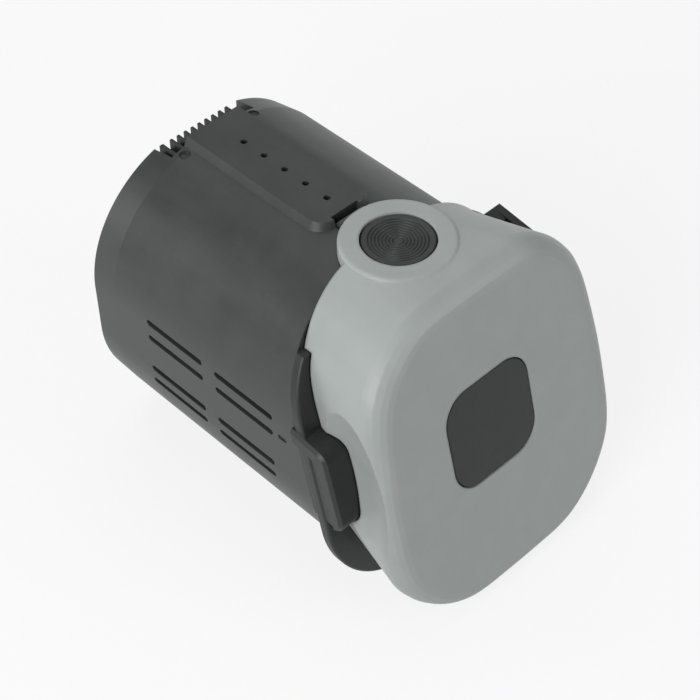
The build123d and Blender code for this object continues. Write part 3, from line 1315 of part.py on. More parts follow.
def lead(points, radius, name):
    """Lead along straight runs joined by arcs, checked against its section times its length."""
    vectors = [Vector(*point) for point in points]
    radii = []
    for before, corner, after in zip(vectors, vectors[1:], vectors[2:]):
        turn = (corner - before).get_angle(after - corner)
        shorter = min((corner - before).length, (after - corner).length)
        radii.append(ARC_SHARE * shorter / tan(radians(turn) / 2))
    with BuildPart() as wire:
        with BuildLine() as route:
            FilletPolyline(*points, radius=radii)
        with BuildSketch(Plane(origin=route.line @ 0, z_dir=route.line % 0)):
            Circle(radius)
        sweep()
    expected = pi * radius ** 2 * sum(edge.length for edge in route.edges())
    print(name, "radii", [round(r, 1) for r in radii], "volume share", round(wire.part.volume / expected, 4))
    return wire.part


for sign, place_x, name in (
    (-1, power_places[0], "power_lead_negative"),
    (1, power_places[1], "power_lead_positive"),
):
    route_points = [
        (sign * LEAD_PAD_X, LEAD_PAD_Y, BOARD_TOP),
        (sign * LEAD_PAD_X, LEAD_PAD_Y, BOARD_TOP + LEAD_RISE),
        (place_x, BLOCK_FRONT_Y - TAIL_LENGTH - LEAD_LAST_RUN, TAIL_Z),
        (place_x, BLOCK_FRONT_Y - TAIL_LENGTH, TAIL_Z),
    ]
    save(lead(route_points, LEAD_RADIUS, name), name)

cable_plane = face_plane(led_board_rear)
cable_start = cable_plane.from_local_coords((CABLE_X, CABLE_LOCAL_Z, 0))
cable_second = cable_plane.from_local_coords((CABLE_X, CABLE_LOCAL_Z, -CABLE_FIRST_RUN))
cable_points = [
    tuple(cable_start),
    tuple(cable_second),
    (CABLE_X, CONNECTOR_Y - 2 * CABLE_LAST_RUN, CABLE_HIGH_Z - CABLE_DROP),
    (CABLE_X, CONNECTOR_Y - CABLE_LAST_RUN, CABLE_HIGH_Z),
    (CABLE_X, CONNECTOR_Y, CABLE_HIGH_Z),
]
save(lead(cable_points, CABLE_RADIUS, "led_cable"), "led_cable")
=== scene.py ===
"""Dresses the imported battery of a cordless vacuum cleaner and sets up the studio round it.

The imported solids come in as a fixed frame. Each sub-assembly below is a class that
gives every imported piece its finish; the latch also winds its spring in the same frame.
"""

from __future__ import annotations

import json
import logging
import math
from dataclasses import dataclass, field
from enum import Enum

import bpy
from mathutils import Matrix, Vector

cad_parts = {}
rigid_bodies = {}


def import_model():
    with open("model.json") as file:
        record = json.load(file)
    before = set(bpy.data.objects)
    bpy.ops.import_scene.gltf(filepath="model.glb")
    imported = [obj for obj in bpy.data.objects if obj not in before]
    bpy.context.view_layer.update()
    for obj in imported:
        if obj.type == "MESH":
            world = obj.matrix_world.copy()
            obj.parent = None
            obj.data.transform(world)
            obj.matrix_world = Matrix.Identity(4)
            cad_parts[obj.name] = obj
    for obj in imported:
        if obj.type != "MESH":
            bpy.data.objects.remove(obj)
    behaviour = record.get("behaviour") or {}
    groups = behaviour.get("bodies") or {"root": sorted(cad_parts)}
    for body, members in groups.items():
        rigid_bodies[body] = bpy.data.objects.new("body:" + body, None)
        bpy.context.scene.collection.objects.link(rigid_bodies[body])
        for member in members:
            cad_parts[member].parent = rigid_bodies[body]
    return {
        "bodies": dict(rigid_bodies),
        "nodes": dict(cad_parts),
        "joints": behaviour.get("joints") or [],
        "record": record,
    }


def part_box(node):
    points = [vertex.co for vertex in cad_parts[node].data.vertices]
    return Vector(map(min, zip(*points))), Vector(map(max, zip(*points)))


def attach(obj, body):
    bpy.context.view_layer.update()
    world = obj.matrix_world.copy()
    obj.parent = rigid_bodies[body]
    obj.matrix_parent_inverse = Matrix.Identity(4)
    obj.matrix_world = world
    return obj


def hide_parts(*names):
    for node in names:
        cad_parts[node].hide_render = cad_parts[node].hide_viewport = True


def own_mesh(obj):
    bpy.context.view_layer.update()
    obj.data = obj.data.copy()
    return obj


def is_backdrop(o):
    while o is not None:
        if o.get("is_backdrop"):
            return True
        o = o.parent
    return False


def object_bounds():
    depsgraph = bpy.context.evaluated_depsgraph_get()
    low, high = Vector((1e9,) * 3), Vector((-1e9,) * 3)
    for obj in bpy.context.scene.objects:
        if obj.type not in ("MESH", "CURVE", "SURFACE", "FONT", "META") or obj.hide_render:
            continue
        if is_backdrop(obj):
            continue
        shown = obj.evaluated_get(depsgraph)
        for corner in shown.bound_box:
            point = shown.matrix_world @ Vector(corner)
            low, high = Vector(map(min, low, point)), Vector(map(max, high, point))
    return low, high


LOG = logging.getLogger("battery")
MM = 0.001
SMOOTH_BELOW = math.radians(32.0)

Colour = tuple[float, float, float]
Scale = tuple[float, float, float]
Span = tuple[float, float]
Socket = bpy.types.NodeSocket

# The part of a noise's values that is stretched to the full range: the narrower, the sharper.
WIDE: Span = (0.3, 0.7)
MIDDLE: Span = (0.35, 0.65)


def tone(red: int, green: int, blue: int) -> Colour:
    """Turns a screen colour into the linear colour that a shader takes.

    Args:
        red: Red from 0 to 255.
        green: Green from 0 to 255.
        blue: Blue from 0 to 255.

    Returns:
        The same colour in linear light.
    """
    shares = (value / 255 for value in (red, green, blue))
    return tuple(s / 12.92 if s <= 0.04045 else ((s + 0.055) / 1.055) ** 2.4 for s in shares)


def shaded(colour: Colour, factor: float, lift: float = 0.0) -> Colour:
    """Gives a colour times a factor, plus a lift, held at 1."""
    return tuple(min(1.0, part * factor + lift) for part in colour)


def placed(name: str, data: bpy.types.ID) -> bpy.types.Object:
    """Puts a mesh, lamp or camera into the scene.

    Args:
        name: The object's name.
        data: What it shows.

    Returns:
        The object, at the origin.
    """
    thing = bpy.data.objects.new(name, data)
    bpy.context.scene.collection.objects.link(thing)
    return thing


def soften(mesh: bpy.types.Mesh) -> None:
    """Shades faces smoothly where they meet at a small angle."""
    mesh.shade_smooth()
    mesh.set_sharp_from_angle(angle=SMOOTH_BELOW)


class Sheet:
    """Writes the nodes of one material or world, in the order in which they are used."""

    NODE_STEP = 190
    NOISE_ROUGHNESS = 0.55
    BEVEL_SAMPLES = 4

    def __init__(self, name: str, block: bpy.types.ID | None = None) -> None:
        """Starts with no nodes.

        Args:
            name: The plain name of the material.
            block: What carries the nodes; a new material by default.
        """
        self.block = block or bpy.data.materials.new(name)
        self.block.use_nodes = True
        self.tree = self.block.node_tree
        self.tree.nodes.clear()
        self.place = Vector((0.0, 0.0))

    def add(self, kind: str, sockets: dict | None = None, **settings: object) -> bpy.types.Node:
        """Adds a node, links or sets its sockets, and sets its own settings.

        Args:
            kind: Blender's name for the node, without its ShaderNode start.
            sockets: Input socket name or number to a value or an output socket.
            settings: The node's own settings by name.

        Returns:
            The new node.
        """
        node = self.tree.nodes.new("ShaderNode" + kind)
        node.location = self.place
        self.place.x += self.NODE_STEP
        for key, value in settings.items():
            setattr(node, key, value)
        for key, value in (sockets or {}).items():
            if isinstance(value, Socket):
                self.tree.links.new(value, node.inputs[key])
            else:
                node.inputs[key].default_value = value
        return node

    def where(self) -> Socket:
        """Gives the point in the row frame, in metres, which moves with the piece."""
        return self.add("TexCoord").outputs["Object"]

    def stretched(self, scale: Scale) -> Socket:
        """Gives the point scaled along X, Y and Z, for a grain with a direction."""
        return self.add("Mapping", {"Vector": self.where(), "Scale": scale}).outputs[0]

    def noise(self, size: float, detail: float = 2.0, point: Socket | None = None) -> Socket:
        """Gives a soft random value whose spots are about size across.

        Args:
            size: The spots' width in metres.
            detail: How many finer layers are added.
            point: Where it is read; the row frame's point by default.

        Returns:
            A value around a half.
        """
        return self.add("TexNoise", {
            "Vector": point or self.where(), "Scale": 1 / size,
            "Detail": detail, "Roughness": self.NOISE_ROUGHNESS,
        }).outputs["Fac"]

    def cells(self, size: float) -> Socket:
        """Gives the distance within random cells that are about size across."""
        return self.add("TexVoronoi", {"Vector": self.where(), "Scale": 1 / size}).outputs["Distance"]

    def spread(self, value: Socket, span: Span, low: float = 0.0, high: float = 1.0) -> Socket:
        """Carries a value from one range to another and holds it there.

        Args:
            value: The value to carry over.
            span: Where the first range starts and ends.
            low: What the start becomes.
            high: What the end becomes.

        Returns:
            The value in the new range.
        """
        sockets = {"Value": value, "From Min": span[0], "From Max": span[1], "To Min": low, "To Max": high}
        return self.add("MapRange", sockets).outputs["Result"]

    def stray(self, value: Socket, span: Span, mean: float, by: Span) -> Socket:
        """Lets a figure stray from its mean, down and up, as a value runs through a span."""
        return self.spread(value, span, mean + by[0], mean + by[1])

    def combine(self, operation: str, first: Socket | float, second: Socket | float) -> Socket:
        """Joins two values with one step of arithmetic.

        Args:
            operation: Blender's name for the step, such as MULTIPLY.
            first: The first value.
            second: The second value.

        Returns:
            The result.
        """
        return self.add("Math", {0: first, 1: second}, operation=operation).outputs[0]

    def blend(self, share: Socket | float, first: Socket | Colour, second: Socket | Colour) -> Socket:
        """Mixes two colours.

        Args:
            share: How much of the second colour is taken.
            first: The first colour.
            second: The second colour.

        Returns:
            The mixed colour.
        """
        mix = self.add("Mix", {"Factor": share}, data_type="RGBA")
        for number, value in ((6, first), (7, second)):
            if isinstance(value, Socket):
                self.tree.links.new(value, mix.inputs[number])
            else:
                mix.inputs[number].default_value = (*value, 1.0)
        return mix.outputs[2]

    def bump(self, height: Socket, rise: float, under: Socket | None = None) -> Socket:
        """Turns a height from 0 to 1 into a shading normal.

        Args:
            height: The height's share.
            rise: What a height of 1 stands for, in metres.
            under: A normal that this one adds to.

        Returns:
            The normal.
        """
        sockets = {"Height": height, "Distance": rise, "Strength": 1.0}
        if under is not None:
            sockets["Normal"] = under
        return self.add("Bump", sockets).outputs["Normal"]

    def rounded(self, radius: float) -> Socket:
        """Gives the shading normal with every edge rounded off to a radius in metres."""
        return self.add("Bevel", {"Radius": radius}, samples=self.BEVEL_SAMPLES).outputs["Normal"]

    def edges(self, rounded: Socket, span: Span) -> Socket:
        """Gives 1 along edges and 0 on open faces.

        Args:
            rounded: The normal with rounded edges.
            span: How far it has to turn from the face's own for wear to start, and for full wear.

        Returns:
            The share of wear.
        """
        plain = self.add("NewGeometry").outputs["Normal"]
        along = self.add("VectorMath", {0: rounded, 1: plain}, operation="DOT_PRODUCT").outputs["Value"]
        return self.spread(self.combine("SUBTRACT", 1.0, along), span)

    def close(self, sockets: dict) -> bpy.types.Material:
        """Adds the surface shader and the output.

        Args:
            sockets: The shader's inputs.

        Returns:
            The finished material.
        """
        shader = self.add("BsdfPrincipled", sockets)
        self.add("OutputMaterial", {"Surface": shader.outputs["BSDF"]})
        return self.block


@dataclass(frozen=True)
class MouldedPlastic:
    """Moulded plastic with a spark-eroded grain, faint flow marks, scuffs and worn edges."""

    name: str
    colour: Colour
    roughness: float = 0.45
    grain: float = 0.35 * MM
    grain_rise: float = 0.012 * MM
    mottle: float = 0.12
    wear: float = 0.25
    scuffs: float = 0.15
    edge: float = 0.25 * MM
    light_lift: float = 0.004
    worn_factor: float = 1.5
    worn_lift: float = 0.035
    cloud: float = 9 * MM
    streak: float = 6 * MM
    streak_scale: Scale = (1.0, 0.18, 1.0)
    rub: float = 2.4 * MM
    rub_span: Span = (0.4, 0.62)
    rub_gloss: float = 0.12
    edge_span: Span = (0.02, 0.16)
    hair: float = 0.9 * MM
    hair_scale: Scale = (0.25, 2.4, 1.3)
    hair_span: Span = (0.66, 0.72)
    scuff_span: Span = (0.5, 0.6)
    rough_stray: Span = (-0.05, 0.06)
    wave: float = 4 * MM
    wave_rise: float = 0.02 * MM
    specular: float = 0.5
    index: float = 1.5

    def material(self) -> bpy.types.Material:
        """Builds the material.

        Returns:
            The material.
        """
        sheet = Sheet(self.name)
        cloud = sheet.noise(self.cloud, 4.0)
        streak = sheet.noise(self.streak, 3.0, sheet.stretched(self.streak_scale))
        halves = [sheet.combine("MULTIPLY", value, 0.5) for value in (cloud, streak)]
        patch = sheet.combine("ADD", *halves)
        darker = shaded(self.colour, 1 - self.mottle)
        lighter = shaded(self.colour, 1 + self.mottle, self.light_lift)
        base = sheet.blend(sheet.spread(patch, MIDDLE), darker, lighter)
        worn = shaded(self.colour, self.worn_factor, self.worn_lift)
        rounded = sheet.rounded(self.edge)
        patchy = sheet.spread(sheet.noise(self.rub), self.rub_span)
        rub = sheet.combine("MULTIPLY", sheet.edges(rounded, self.edge_span), patchy)
        base = sheet.blend(sheet.combine("MULTIPLY", rub, self.wear), base, worn)
        hair = sheet.noise(self.hair, 1.0, sheet.stretched(self.hair_scale))
        scuff = sheet.combine(
            "MULTIPLY", sheet.spread(hair, self.hair_span), sheet.spread(cloud, self.scuff_span)
        )
        base = sheet.blend(sheet.combine("MULTIPLY", scuff, self.scuffs), base, worn)
        rough = sheet.stray(patch, WIDE, self.roughness, self.rough_stray)
        rough = sheet.combine("SUBTRACT", rough, sheet.combine("MULTIPLY", rub, self.rub_gloss))
        fine = sheet.bump(sheet.cells(self.grain), self.grain_rise, rounded)
        normal = sheet.bump(sheet.noise(self.wave, 1.0), self.wave_rise, fine)
        return sheet.close({
            "Base Color": base, "Roughness": rough, "Normal": normal,
            "Specular IOR Level": self.specular, "IOR": self.index,
        })


@dataclass(frozen=True)
class ClearResin:
    """Polished or milky resin: a smoked window, a diffuser or the lens of a small lamp."""

    name: str
    colour: Colour
    roughness: float
    transmission: float
    coat: float = 0.3
    specular: float = 0.5
    deep_factor: float = 0.82
    haze: float = 5 * MM
    wipe: float = 1.2 * MM
    wipe_scale: Scale = (0.4, 1.0, 1.6)
    rough_stray: Span = (-0.02, 0.05)
    wave: float = 7 * MM
    wave_rise: float = 0.015 * MM
    index: float = 1.54
    coat_roughness: float = 0.08

    def material(self) -> bpy.types.Material:
        """Builds the material.

        Returns:
            The material.
        """
        sheet = Sheet(self.name)
        haze = sheet.noise(self.haze, 3.0)
        base = sheet.blend(sheet.spread(haze, MIDDLE), shaded(self.colour, self.deep_factor), self.colour)
        wipe = sheet.noise(self.wipe, 2.0, sheet.stretched(self.wipe_scale))
        rough = sheet.stray(wipe, WIDE, self.roughness, self.rough_stray)
        normal = sheet.bump(sheet.noise(self.wave, 1.0), self.wave_rise)
        return sheet.close({
            "Base Color": base, "Roughness": rough, "Normal": normal, "IOR": self.index,
            "Specular IOR Level": self.specular, "Transmission Weight": self.transmission,
            "Coat Weight": self.coat, "Coat Roughness": self.coat_roughness,
        })


@dataclass(frozen=True)
class PlatedMetal:
    """Drawn or rolled metal with a thin plating, fine lines along one axis and dull spots."""

    name: str
    colour: Colour
    roughness: float = 0.3
    line_scale: Scale = (1.0, 0.06, 1.0)
    line: float = 0.18 * MM
    line_rise: float = 0.004 * MM
    spot: float = 3 * MM
    spot_span: Span = (0.42, 0.68)
    spot_share: float = 0.6
    dull_factor: float = 0.72
    rough_span: Span = (0.35, 0.7)
    rough_stray: Span = (-0.06, 0.14)

    def material(self) -> bpy.types.Material:
        """Builds the material.

        Returns:
            The material.
        """
        sheet = Sheet(self.name)
        lines = sheet.noise(self.line, 2.0, sheet.stretched(self.line_scale))
        spots = sheet.noise(self.spot, 4.0)
        share = sheet.spread(spots, self.spot_span, 0.0, self.spot_share)
        base = sheet.blend(share, self.colour, shaded(self.colour, self.dull_factor))
        rough = sheet.stray(spots, self.rough_span, self.roughness, self.rough_stray)
        normal = sheet.bump(lines, self.line_rise)
        return sheet.close({"Base Color": base, "Metallic": 1.0, "Roughness": rough, "Normal": normal})


@dataclass(frozen=True)
class BoardLaminate:
    """Glass laminate with solder mask, copper runs under it and the weave showing faintly."""

    name: str
    mask: Colour
    run: Colour
    pitch: float = 2.4 * MM
    run_length: float = 1.7
    run_width: float = 0.62
    run_gap: float = 0.12
    run_gap_softness: float = 0.2
    run_offset: float = 0.37
    run_share: float = 0.6
    run_rise: float = 0.02 * MM
    weave: float = 1.1 * MM
    weave_share: float = 0.25
    weave_factor: float = 0.6
    weave_rise: float = 0.004 * MM
    cloud: float = 5 * MM
    rough_range: Span = (0.28, 0.42)

    def material(self) -> bpy.types.Material:
        """Builds the material.

        Returns:
            The material.
        """
        sheet = Sheet(self.name)
        runs = sheet.add("TexBrick", {
            "Vector": sheet.where(), "Scale": 1 / self.pitch,
            "Mortar Size": self.run_gap, "Mortar Smooth": self.run_gap_softness,
            "Brick Width": self.run_length, "Row Height": self.run_width,
        }, offset=self.run_offset)
        share = sheet.combine("SUBTRACT", 1.0, runs.outputs["Fac"])
        threads = {"Vector": sheet.where(), "Scale": 1 / self.weave}
        weave = sheet.add("TexMagic", threads, turbulence_depth=1).outputs["Fac"]
        base = sheet.blend(sheet.combine("MULTIPLY", share, self.run_share), self.run, self.mask)
        woven = shaded(self.mask, self.weave_factor)
        base = sheet.blend(sheet.combine("MULTIPLY", weave, self.weave_share), base, woven)
        normal = sheet.bump(share, self.run_rise, sheet.bump(weave, self.weave_rise))
        rough = sheet.spread(sheet.noise(self.cloud), WIDE, *self.rough_range)
        return sheet.close({"Base Color": base, "Roughness": rough, "Normal": normal})


@dataclass(frozen=True)
class ShrinkWrap:
    """Shrink wrap drawn round a cell, with slack lines along it and small dents."""

    name: str
    colour: Colour
    fold: float = 1.6 * MM
    fold_scale: Scale = (1.0, 0.08, 1.0)
    fold_rise: float = 0.05 * MM
    cloud: float = 8 * MM
    cloud_factor: float = 0.8
    cloud_rise: float = 0.03 * MM
    rough_range: Span = (0.22, 0.36)
    coat: float = 0.25

    def material(self) -> bpy.types.Material:
        """Builds the material.

        Returns:
            The material.
        """
        sheet = Sheet(self.name)
        folds = sheet.noise(self.fold, 2.0, sheet.stretched(self.fold_scale))
        cloud = sheet.noise(self.cloud, 3.0)
        base = sheet.blend(sheet.spread(cloud, WIDE), self.colour, shaded(self.colour, self.cloud_factor))
        rough = sheet.spread(folds, WIDE, *self.rough_range)
        normal = sheet.bump(folds, self.fold_rise, sheet.bump(cloud, self.cloud_rise))
        return sheet.close({
            "Base Color": base, "Roughness": rough, "Normal": normal, "Coat Weight": self.coat,
        })


@dataclass(frozen=True)
class PorousSheet:
    """Pressed card, foam or tape: a matt sheet with fibres or pores, darkened in the pores' pits as painted
    shade.
    """

    name: str
    colour: Colour
    pore: float
    rise: float
    roughness: float = 0.9
    cloud_pores: float = 9
    cloud_factor: float = 0.75
    pore_shade_span: Span = (0.0, 0.25)
    pore_shade_share: float = 0.45
    pore_shade_factor: float = 0.45
    rough_stray: Span = (-0.08, 0.0)

    def material(self) -> bpy.types.Material:
        """Builds the material.

        Returns:
            The material.
        """
        sheet = Sheet(self.name)
        pores = sheet.cells(self.pore)
        cloud = sheet.noise(self.pore * self.cloud_pores, 4.0)
        base = sheet.blend(sheet.spread(cloud, WIDE), self.colour, shaded(self.colour, self.cloud_factor))
        # Painted shade: the colour is darkened at the bottom of each pore's pit.
        depth = sheet.spread(pores, self.pore_shade_span, self.pore_shade_share, 0.0)
        base = sheet.blend(depth, base, shaded(self.colour, self.pore_shade_factor))
        rough = sheet.stray(cloud, WIDE, self.roughness, self.rough_stray)
        return sheet.close({"Base Color": base, "Roughness": rough, "Normal": sheet.bump(pores, self.rise)})


class Plastics(Enum):
    """The plastics and rubbers of the pack."""

    SLEEVE = MouldedPlastic("sleeve_plastic", tone(54, 58, 57), 0.44, wear=0.3, scuffs=0.2)
    # The frame's tone is set darker than the sleeve's as painted shade: the shade on its front faces, turned
    # away from the lamps, is put into the colour.
    FRAME_PAINTED_SHADE = MouldedPlastic("frame_plastic_painted_shade", tone(29, 33, 32), 0.44, wear=0.4, scuffs=0.2)
    CAP = MouldedPlastic(
        "cap_plastic", tone(162, 168, 166), 0.4, 0.5 * MM, 0.006 * MM,
        mottle=0.03, wear=0.08, scuffs=0.03, edge=0.9 * MM,
    )
    BUTTON = MouldedPlastic("button_plastic", tone(42, 47, 45), 0.42, wear=0.3)
    INNER = MouldedPlastic("inner_plastic", tone(62, 64, 64), 0.5)
    BLOCK = MouldedPlastic("block_plastic", tone(40, 42, 41), 0.5)
    COMPONENT = MouldedPlastic("component_black", tone(38, 38, 39), 0.55, 0.25 * MM)
    CONNECTOR = MouldedPlastic(
        "connector_plastic", tone(221, 216, 203), 0.4, 0.6 * MM, 0.004 * MM, mottle=0.03, wear=0.02,
    )
    LEAD_BLACK = MouldedPlastic("lead_black", tone(36, 36, 37), 0.6, 0.3 * MM, 0.006 * MM, 0.08, 0.0, 0.0)
    LEAD_RED = MouldedPlastic("lead_red", tone(176, 34, 28), 0.55, 0.3 * MM, 0.006 * MM, 0.08, 0.0, 0.0)
    WINDOW = ClearResin("window_plastic", tone(34, 38, 37), 0.34, 0.0, coat=0.0, specular=0.3)
    GUIDE = ClearResin("light_guide_plastic", tone(228, 230, 230), 0.5, 0.35, coat=0.1)
    RESIN = ClearResin("led_resin", tone(228, 214, 150), 0.15, 0.4)


class Metals(Enum):
    """The metals of the pack."""

    SCREW = PlatedMetal("screw_steel", (0.56, 0.56, 0.55), 0.32, (1.0, 1.0, 0.1))
    SPRING = PlatedMetal("spring_steel", (0.5, 0.5, 0.5), 0.28, (0.2, 0.2, 1.0))
    NICKEL = PlatedMetal("nickel", (0.66, 0.64, 0.6), 0.26)


class Sheets(Enum):
    """The boards, wraps and soft sheets of the pack."""

    BOARD = BoardLaminate("board_laminate", tone(28, 84, 52), tone(58, 122, 74))
    WRAP = ShrinkWrap("cell_wrap", tone(28, 58, 74))
    CARD = PorousSheet("insulator_card", tone(206, 202, 186), 0.3 * MM, 0.02 * MM, 0.85)
    FOAM = PorousSheet("foam", tone(52, 52, 53), 0.5 * MM, 0.12 * MM)
    TAPE = PorousSheet("adhesive", tone(44, 44, 45), 0.25 * MM, 0.02 * MM)


class Wardrobe:
    """Keeps one built material for each finish."""

    def __init__(self) -> None:
        """Starts with no material built."""
        self.built: dict[str, bpy.types.Material] = {}

    def take(self, finish: Enum) -> bpy.types.Material:
        """Gives the finish's material and builds it the first time.

        Args:
            finish: A member of one of the finish enums.

        Returns:
            The material.
        """
        name = finish.value.name
        if name not in self.built:
            self.built[name] = finish.value.material()
        return self.built[name]

    def dress(self, piece: bpy.types.Object, finish: Enum) -> None:
        """Puts one finish all over a mesh and shades it smoothly.

        Args:
            piece: The mesh to dress.
            finish: Its finish.
        """
        piece.data.materials.clear()
        piece.data.materials.append(self.take(finish))
        soften(piece.data)


@dataclass
class SubAssembly:
    """What the sub-assemblies share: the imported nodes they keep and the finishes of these."""

    frame: dict
    wardrobe: Wardrobe
    finishes: dict[str, Enum] = field(default_factory=dict)

    def build(self) -> None:
        """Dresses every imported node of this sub-assembly that is still shown."""
        for name, finish in self.finishes.items():
            self.wardrobe.dress(self.frame["nodes"][name], finish)
            LOG.info("dressed %s", name)


@dataclass
class Housing(SubAssembly):
    """The dark sleeve and the front frame with its grips."""

    finishes: dict[str, Enum] = field(default_factory=lambda: {
        "body_shell": Plastics.SLEEVE,
        # The frame's plastic carries painted shade in its darker tone.
        "front_frame": Plastics.FRAME_PAINTED_SHADE,
        "foam_pad": Sheets.FOAM,
        "frame_screws": Metals.SCREW,
    })


@dataclass
class EndCap(SubAssembly):
    """The light end cap, its window and the lamps behind it."""

    finishes: dict[str, Enum] = field(default_factory=lambda: {
        "end_cap": Plastics.CAP,
        "charge_window": Plastics.WINDOW,
        "window_adhesive": Sheets.TAPE,
        "light_guide": Plastics.GUIDE,
        "led_board": Sheets.BOARD,
        "leds": Plastics.RESIN,
        "led_board_screws": Metals.SCREW,
        "led_cable": Plastics.LEAD_BLACK,
    })


@dataclass(frozen=True)
class ReturnSpring:
    """The coil under the button; here it keeps one length and moves with the button."""

    node: str = "button_spring"
    radius: float = 5.0 * MM
    wire: float = 0.4 * MM
    turns: float = 3.5
    travel: float = 2.2 * MM
    steps: int = 168
    sides: int = 14

    def ring(self, share: float, low: Vector, rise: float) -> list[Vector]:
        """Gives the wire's outline at one place along the coil.

        Args:
            share: How far along the coil it is, from 0 to 1.
            low: The middle of the coil's lowest turn.
            rise: The height between the wire's two ends.

        Returns:
            The outline's points.
        """
        wound = self.turns * math.tau
        out = Vector((math.cos(share * wound), math.sin(share * wound), 0.0))
        along = Vector((-out.y, out.x, rise / (wound * self.radius))).normalized()
        side = along.cross(out)
        centre = low + out * self.radius + Vector((0.0, 0.0, rise * share))
        angles = (math.tau * k / self.sides for k in range(self.sides))
        return [centre + (out * math.cos(a) + side * math.sin(a)) * self.wire for a in angles]

    def mesh(self, low: Vector, rise: float) -> bpy.types.Mesh:
        """Winds the wire and closes its two ends.

        Args:
            low: The middle of the coil's lowest turn.
            rise: The height between the wire's two ends.

        Returns:
            The coil's mesh.
        """
        points = [p for k in range(self.steps + 1) for p in self.ring(k / self.steps, low, rise)]
        n, last = self.sides, self.steps * self.sides
        faces = [
            (k * n + i, k * n + (i + 1) % n, (k + 1) * n + (i + 1) % n, (k + 1) * n + i)
            for k in range(self.steps) for i in range(n)
        ]
        faces += [tuple(range(n))[::-1], tuple(range(last, last + n))]
        mesh = bpy.data.meshes.new("return_spring")
        mesh.from_pydata(points, [], faces)
        return mesh

    def build(self, wardrobe: Wardrobe) -> bpy.types.Object:
        """Winds the coil in its node's place and hangs it on the button's body.

        Args:
            wardrobe: The built materials.

        Returns:
            The coil.
        """
        low, high = (Vector(corner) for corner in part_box(self.node))
        start = Vector(((low.x + high.x) / 2, (low.y + high.y) / 2, low.z + self.wire))
        piece = placed("return_spring", self.mesh(start, high.z - low.z - 2 * self.wire))
        wardrobe.dress(piece, Metals.SPRING)
        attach(piece, "button")
        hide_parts(self.node)
        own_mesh(piece)
        return piece


@dataclass
class Latch(SubAssembly):
    """The release button, its spring and the lever with the catch."""

    finishes: dict[str, Enum] = field(default_factory=lambda: {
        "release_button": Plastics.BUTTON,
        "latch_lever": Plastics.INNER,
        "latch_pin": Metals.SCREW,
    })

    def build(self) -> None:
        """Dresses the latch and winds its spring."""
        super().build()
        LOG.info("wound %s", ReturnSpring().build(self.wardrobe).name)


@dataclass
class CellPack(SubAssembly):
    """The seven cells with their holders, strips and insulators."""

    finishes: dict[str, Enum] = field(default_factory=lambda: {
        **{f"cell_{number}": Sheets.WRAP for number in range(1, 8)},
        "cell_holder_front": Plastics.INNER,
        "cell_holder_rear": Plastics.INNER,
        "nickel_strips_front": Metals.NICKEL,
        "nickel_strips_rear": Metals.NICKEL,
        "insulator_front": Sheets.CARD,
        "insulator_rear": Sheets.CARD,
    })


@dataclass
class Electronics(SubAssembly):
    """The control board with its parts, leads and terminals."""

    finishes: dict[str, Enum] = field(default_factory=lambda: {
        "control_board": Sheets.BOARD,
        "board_screws": Metals.SCREW,
        "board_transistors": Plastics.COMPONENT,
        "board_chips": Plastics.COMPONENT,
        "board_connectors": Plastics.CONNECTOR,
        "thermistor": Plastics.COMPONENT,
        "terminal_block": Plastics.BLOCK,
        "power_contacts": Metals.NICKEL,
        "signal_contacts": Metals.NICKEL,
        "power_lead_negative": Plastics.LEAD_BLACK,
        "power_lead_positive": Plastics.LEAD_RED,
    })


@dataclass(frozen=True)
class SoftBox:
    """A square studio lamp that looks at one point."""

    name: str
    place: tuple[float, float, float]
    side: float
    power: float

    def build(self, aim: Vector) -> None:
        """Adds the lamp.

        Args:
            aim: The point it is turned to.
        """
        lamp = bpy.data.lights.new(self.name, "AREA")
        lamp.shape = "SQUARE"
        lamp.size = self.side
        lamp.energy = self.power
        holder = placed(self.name, lamp)
        holder.location = self.place
        holder.rotation_euler = (aim - Vector(self.place)).to_track_quat("-Z", "Y").to_euler()


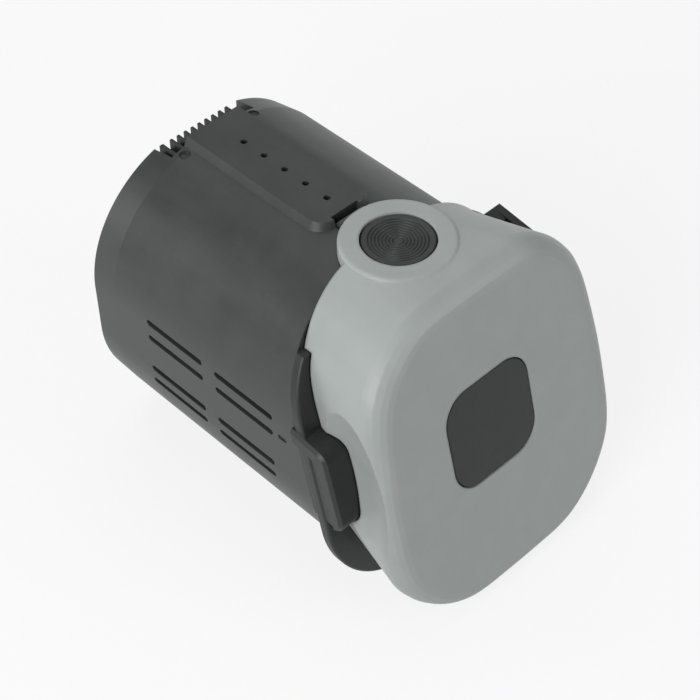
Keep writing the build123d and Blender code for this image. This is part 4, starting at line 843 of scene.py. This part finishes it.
@dataclass
class Studio:
    """The floor, the lamps, the surrounding light and the camera."""

    floor_side: float = 6.0
    floor_drop: float = 0.05 * MM
    paper_grain: float = 2 * MM
    paper_dark: Colour = (0.86, 0.86, 0.86)
    paper_light: Colour = (0.9, 0.9, 0.9)
    paper_bounce: Colour = (0.3, 0.3, 0.3)
    shadow: float = 0.2
    surround: float = 0.3
    lens: float = 95.21
    sensor: float = 36.0
    near: float = 0.01
    far: float = 20.0
    azimuth: float = -43.6
    elevation: float = 45.86
    roll: float = -1.05
    distance: float = 0.46867
    shift_right: float = -1.86 * MM
    shift_up: float = -6.84 * MM
    lift: float = 49.5 * MM
    lamps: tuple[SoftBox, ...] = (
        SoftBox("left_lamp", (-1.25, -0.25, 0.66), 0.9, 15.5),
        SoftBox("top_lamp", (0.25, 0.5, 1.4), 1.1, 4.6),
        SoftBox("front_lamp", (0.6, -1.3, 0.7), 0.8, 5.6),
        SoftBox("right_back_lamp", (1.1, 0.8, 0.3), 0.9, 2.0),
        SoftBox("left_back_lamp", (-0.8, 1.2, 0.4), 0.7, 4.0),
    )

    def paper(self) -> bpy.types.Material:
        """Builds the floor's material: white to the camera, with the object's soft shadow.

        Returns:
            The material.
        """
        sheet = Sheet("floor_paper")
        grain = sheet.noise(self.paper_grain, 3.0)
        paper = sheet.blend(sheet.spread(grain, WIDE), self.paper_dark, self.paper_light)
        glow = sheet.add("Emission", {"Color": (1, 1, 1, 1), "Strength": 1.0})
        path = sheet.add("LightPath")
        seen = sheet.combine("MAXIMUM", path.outputs["Is Camera Ray"], path.outputs["Is Glossy Ray"])
        seen = sheet.combine("MAXIMUM", seen, path.outputs["Is Transmission Ray"])
        matt = sheet.add("BsdfDiffuse", {"Color": sheet.blend(seen, self.paper_bounce, paper)})
        share = sheet.combine("MULTIPLY", seen, 1 - self.shadow)
        mix = sheet.add("MixShader", {0: share, 1: matt.outputs[0], 2: glow.outputs[0]})
        sheet.add("OutputMaterial", {"Surface": mix.outputs[0]})
        return sheet.block

    def floor(self) -> None:
        """Lays the floor under the object."""
        half = self.floor_side / 2
        corners = [(-half, -half, 0), (half, -half, 0), (half, half, 0), (-half, half, 0)]
        mesh = bpy.data.meshes.new("floor")
        mesh.from_pydata(corners, [], [(0, 1, 2, 3)])
        mesh.materials.append(self.paper())
        plane = placed("floor", mesh)
        plane.location.z = -self.floor_drop
        plane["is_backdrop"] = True

    def world(self) -> None:
        """Sets an even white surround that is plain white where the camera sees it."""
        world = bpy.data.worlds.new("surround")
        bpy.context.scene.world = world
        sheet = Sheet("surround", world)
        path = sheet.add("LightPath")
        seen = sheet.combine("MAXIMUM", path.outputs["Is Camera Ray"], path.outputs["Is Transmission Ray"])
        strength = sheet.spread(seen, (0.0, 1.0), self.surround, 1.0)
        background = sheet.add("Background", {"Strength": strength})
        sheet.add("OutputWorld", {"Surface": background.outputs[0]})

    def camera(self) -> None:
        """Puts the camera where the photograph was taken from."""
        turn, climb, roll = (math.radians(v) for v in (self.azimuth, self.elevation, self.roll))
        back = Vector((math.sin(turn) * math.cos(climb), -math.cos(turn) * math.cos(climb), math.sin(climb)))
        right = Vector((math.cos(turn), math.sin(turn), 0.0))
        up = back.cross(right)
        right, up = (
            right * math.cos(roll) + up * math.sin(roll),
            up * math.cos(roll) - right * math.sin(roll),
        )
        lens = bpy.data.cameras.new("photo_camera")
        lens.lens = self.lens
        lens.sensor_width = self.sensor
        lens.clip_start = self.near
        lens.clip_end = self.far
        holder = placed("photo_camera", lens)
        place = right * self.shift_right + up * self.shift_up + back * self.distance
        place.z += self.lift
        holder.matrix_world = Matrix.Translation(place) @ Matrix((right, up, back)).transposed().to_4x4()
        bpy.context.scene.camera = holder

    def build(self, aim: Vector) -> None:
        """Sets up the whole studio.

        Args:
            aim: The point that the lamps are turned to.
        """
        self.floor()
        self.world()
        for lamp in self.lamps:
            lamp.build(aim)
        self.camera()
        bpy.context.scene.view_settings.view_transform = "Standard"


def main() -> None:
    """Builds every sub-assembly in order, then the studio."""
    logging.basicConfig(level=logging.INFO, format="%(name)s: %(message)s")
    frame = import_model()
    solids_box = [list(corner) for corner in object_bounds()]
    wardrobe = Wardrobe()
    for kind in (Housing, EndCap, Latch, CellPack, Electronics):
        kind(frame, wardrobe).build()
        LOG.info("built %s", kind.__name__)
    low, high = (Vector(corner) for corner in solids_box)
    Studio().build((low + high) / 2)


if __name__ == "__main__":
    main()
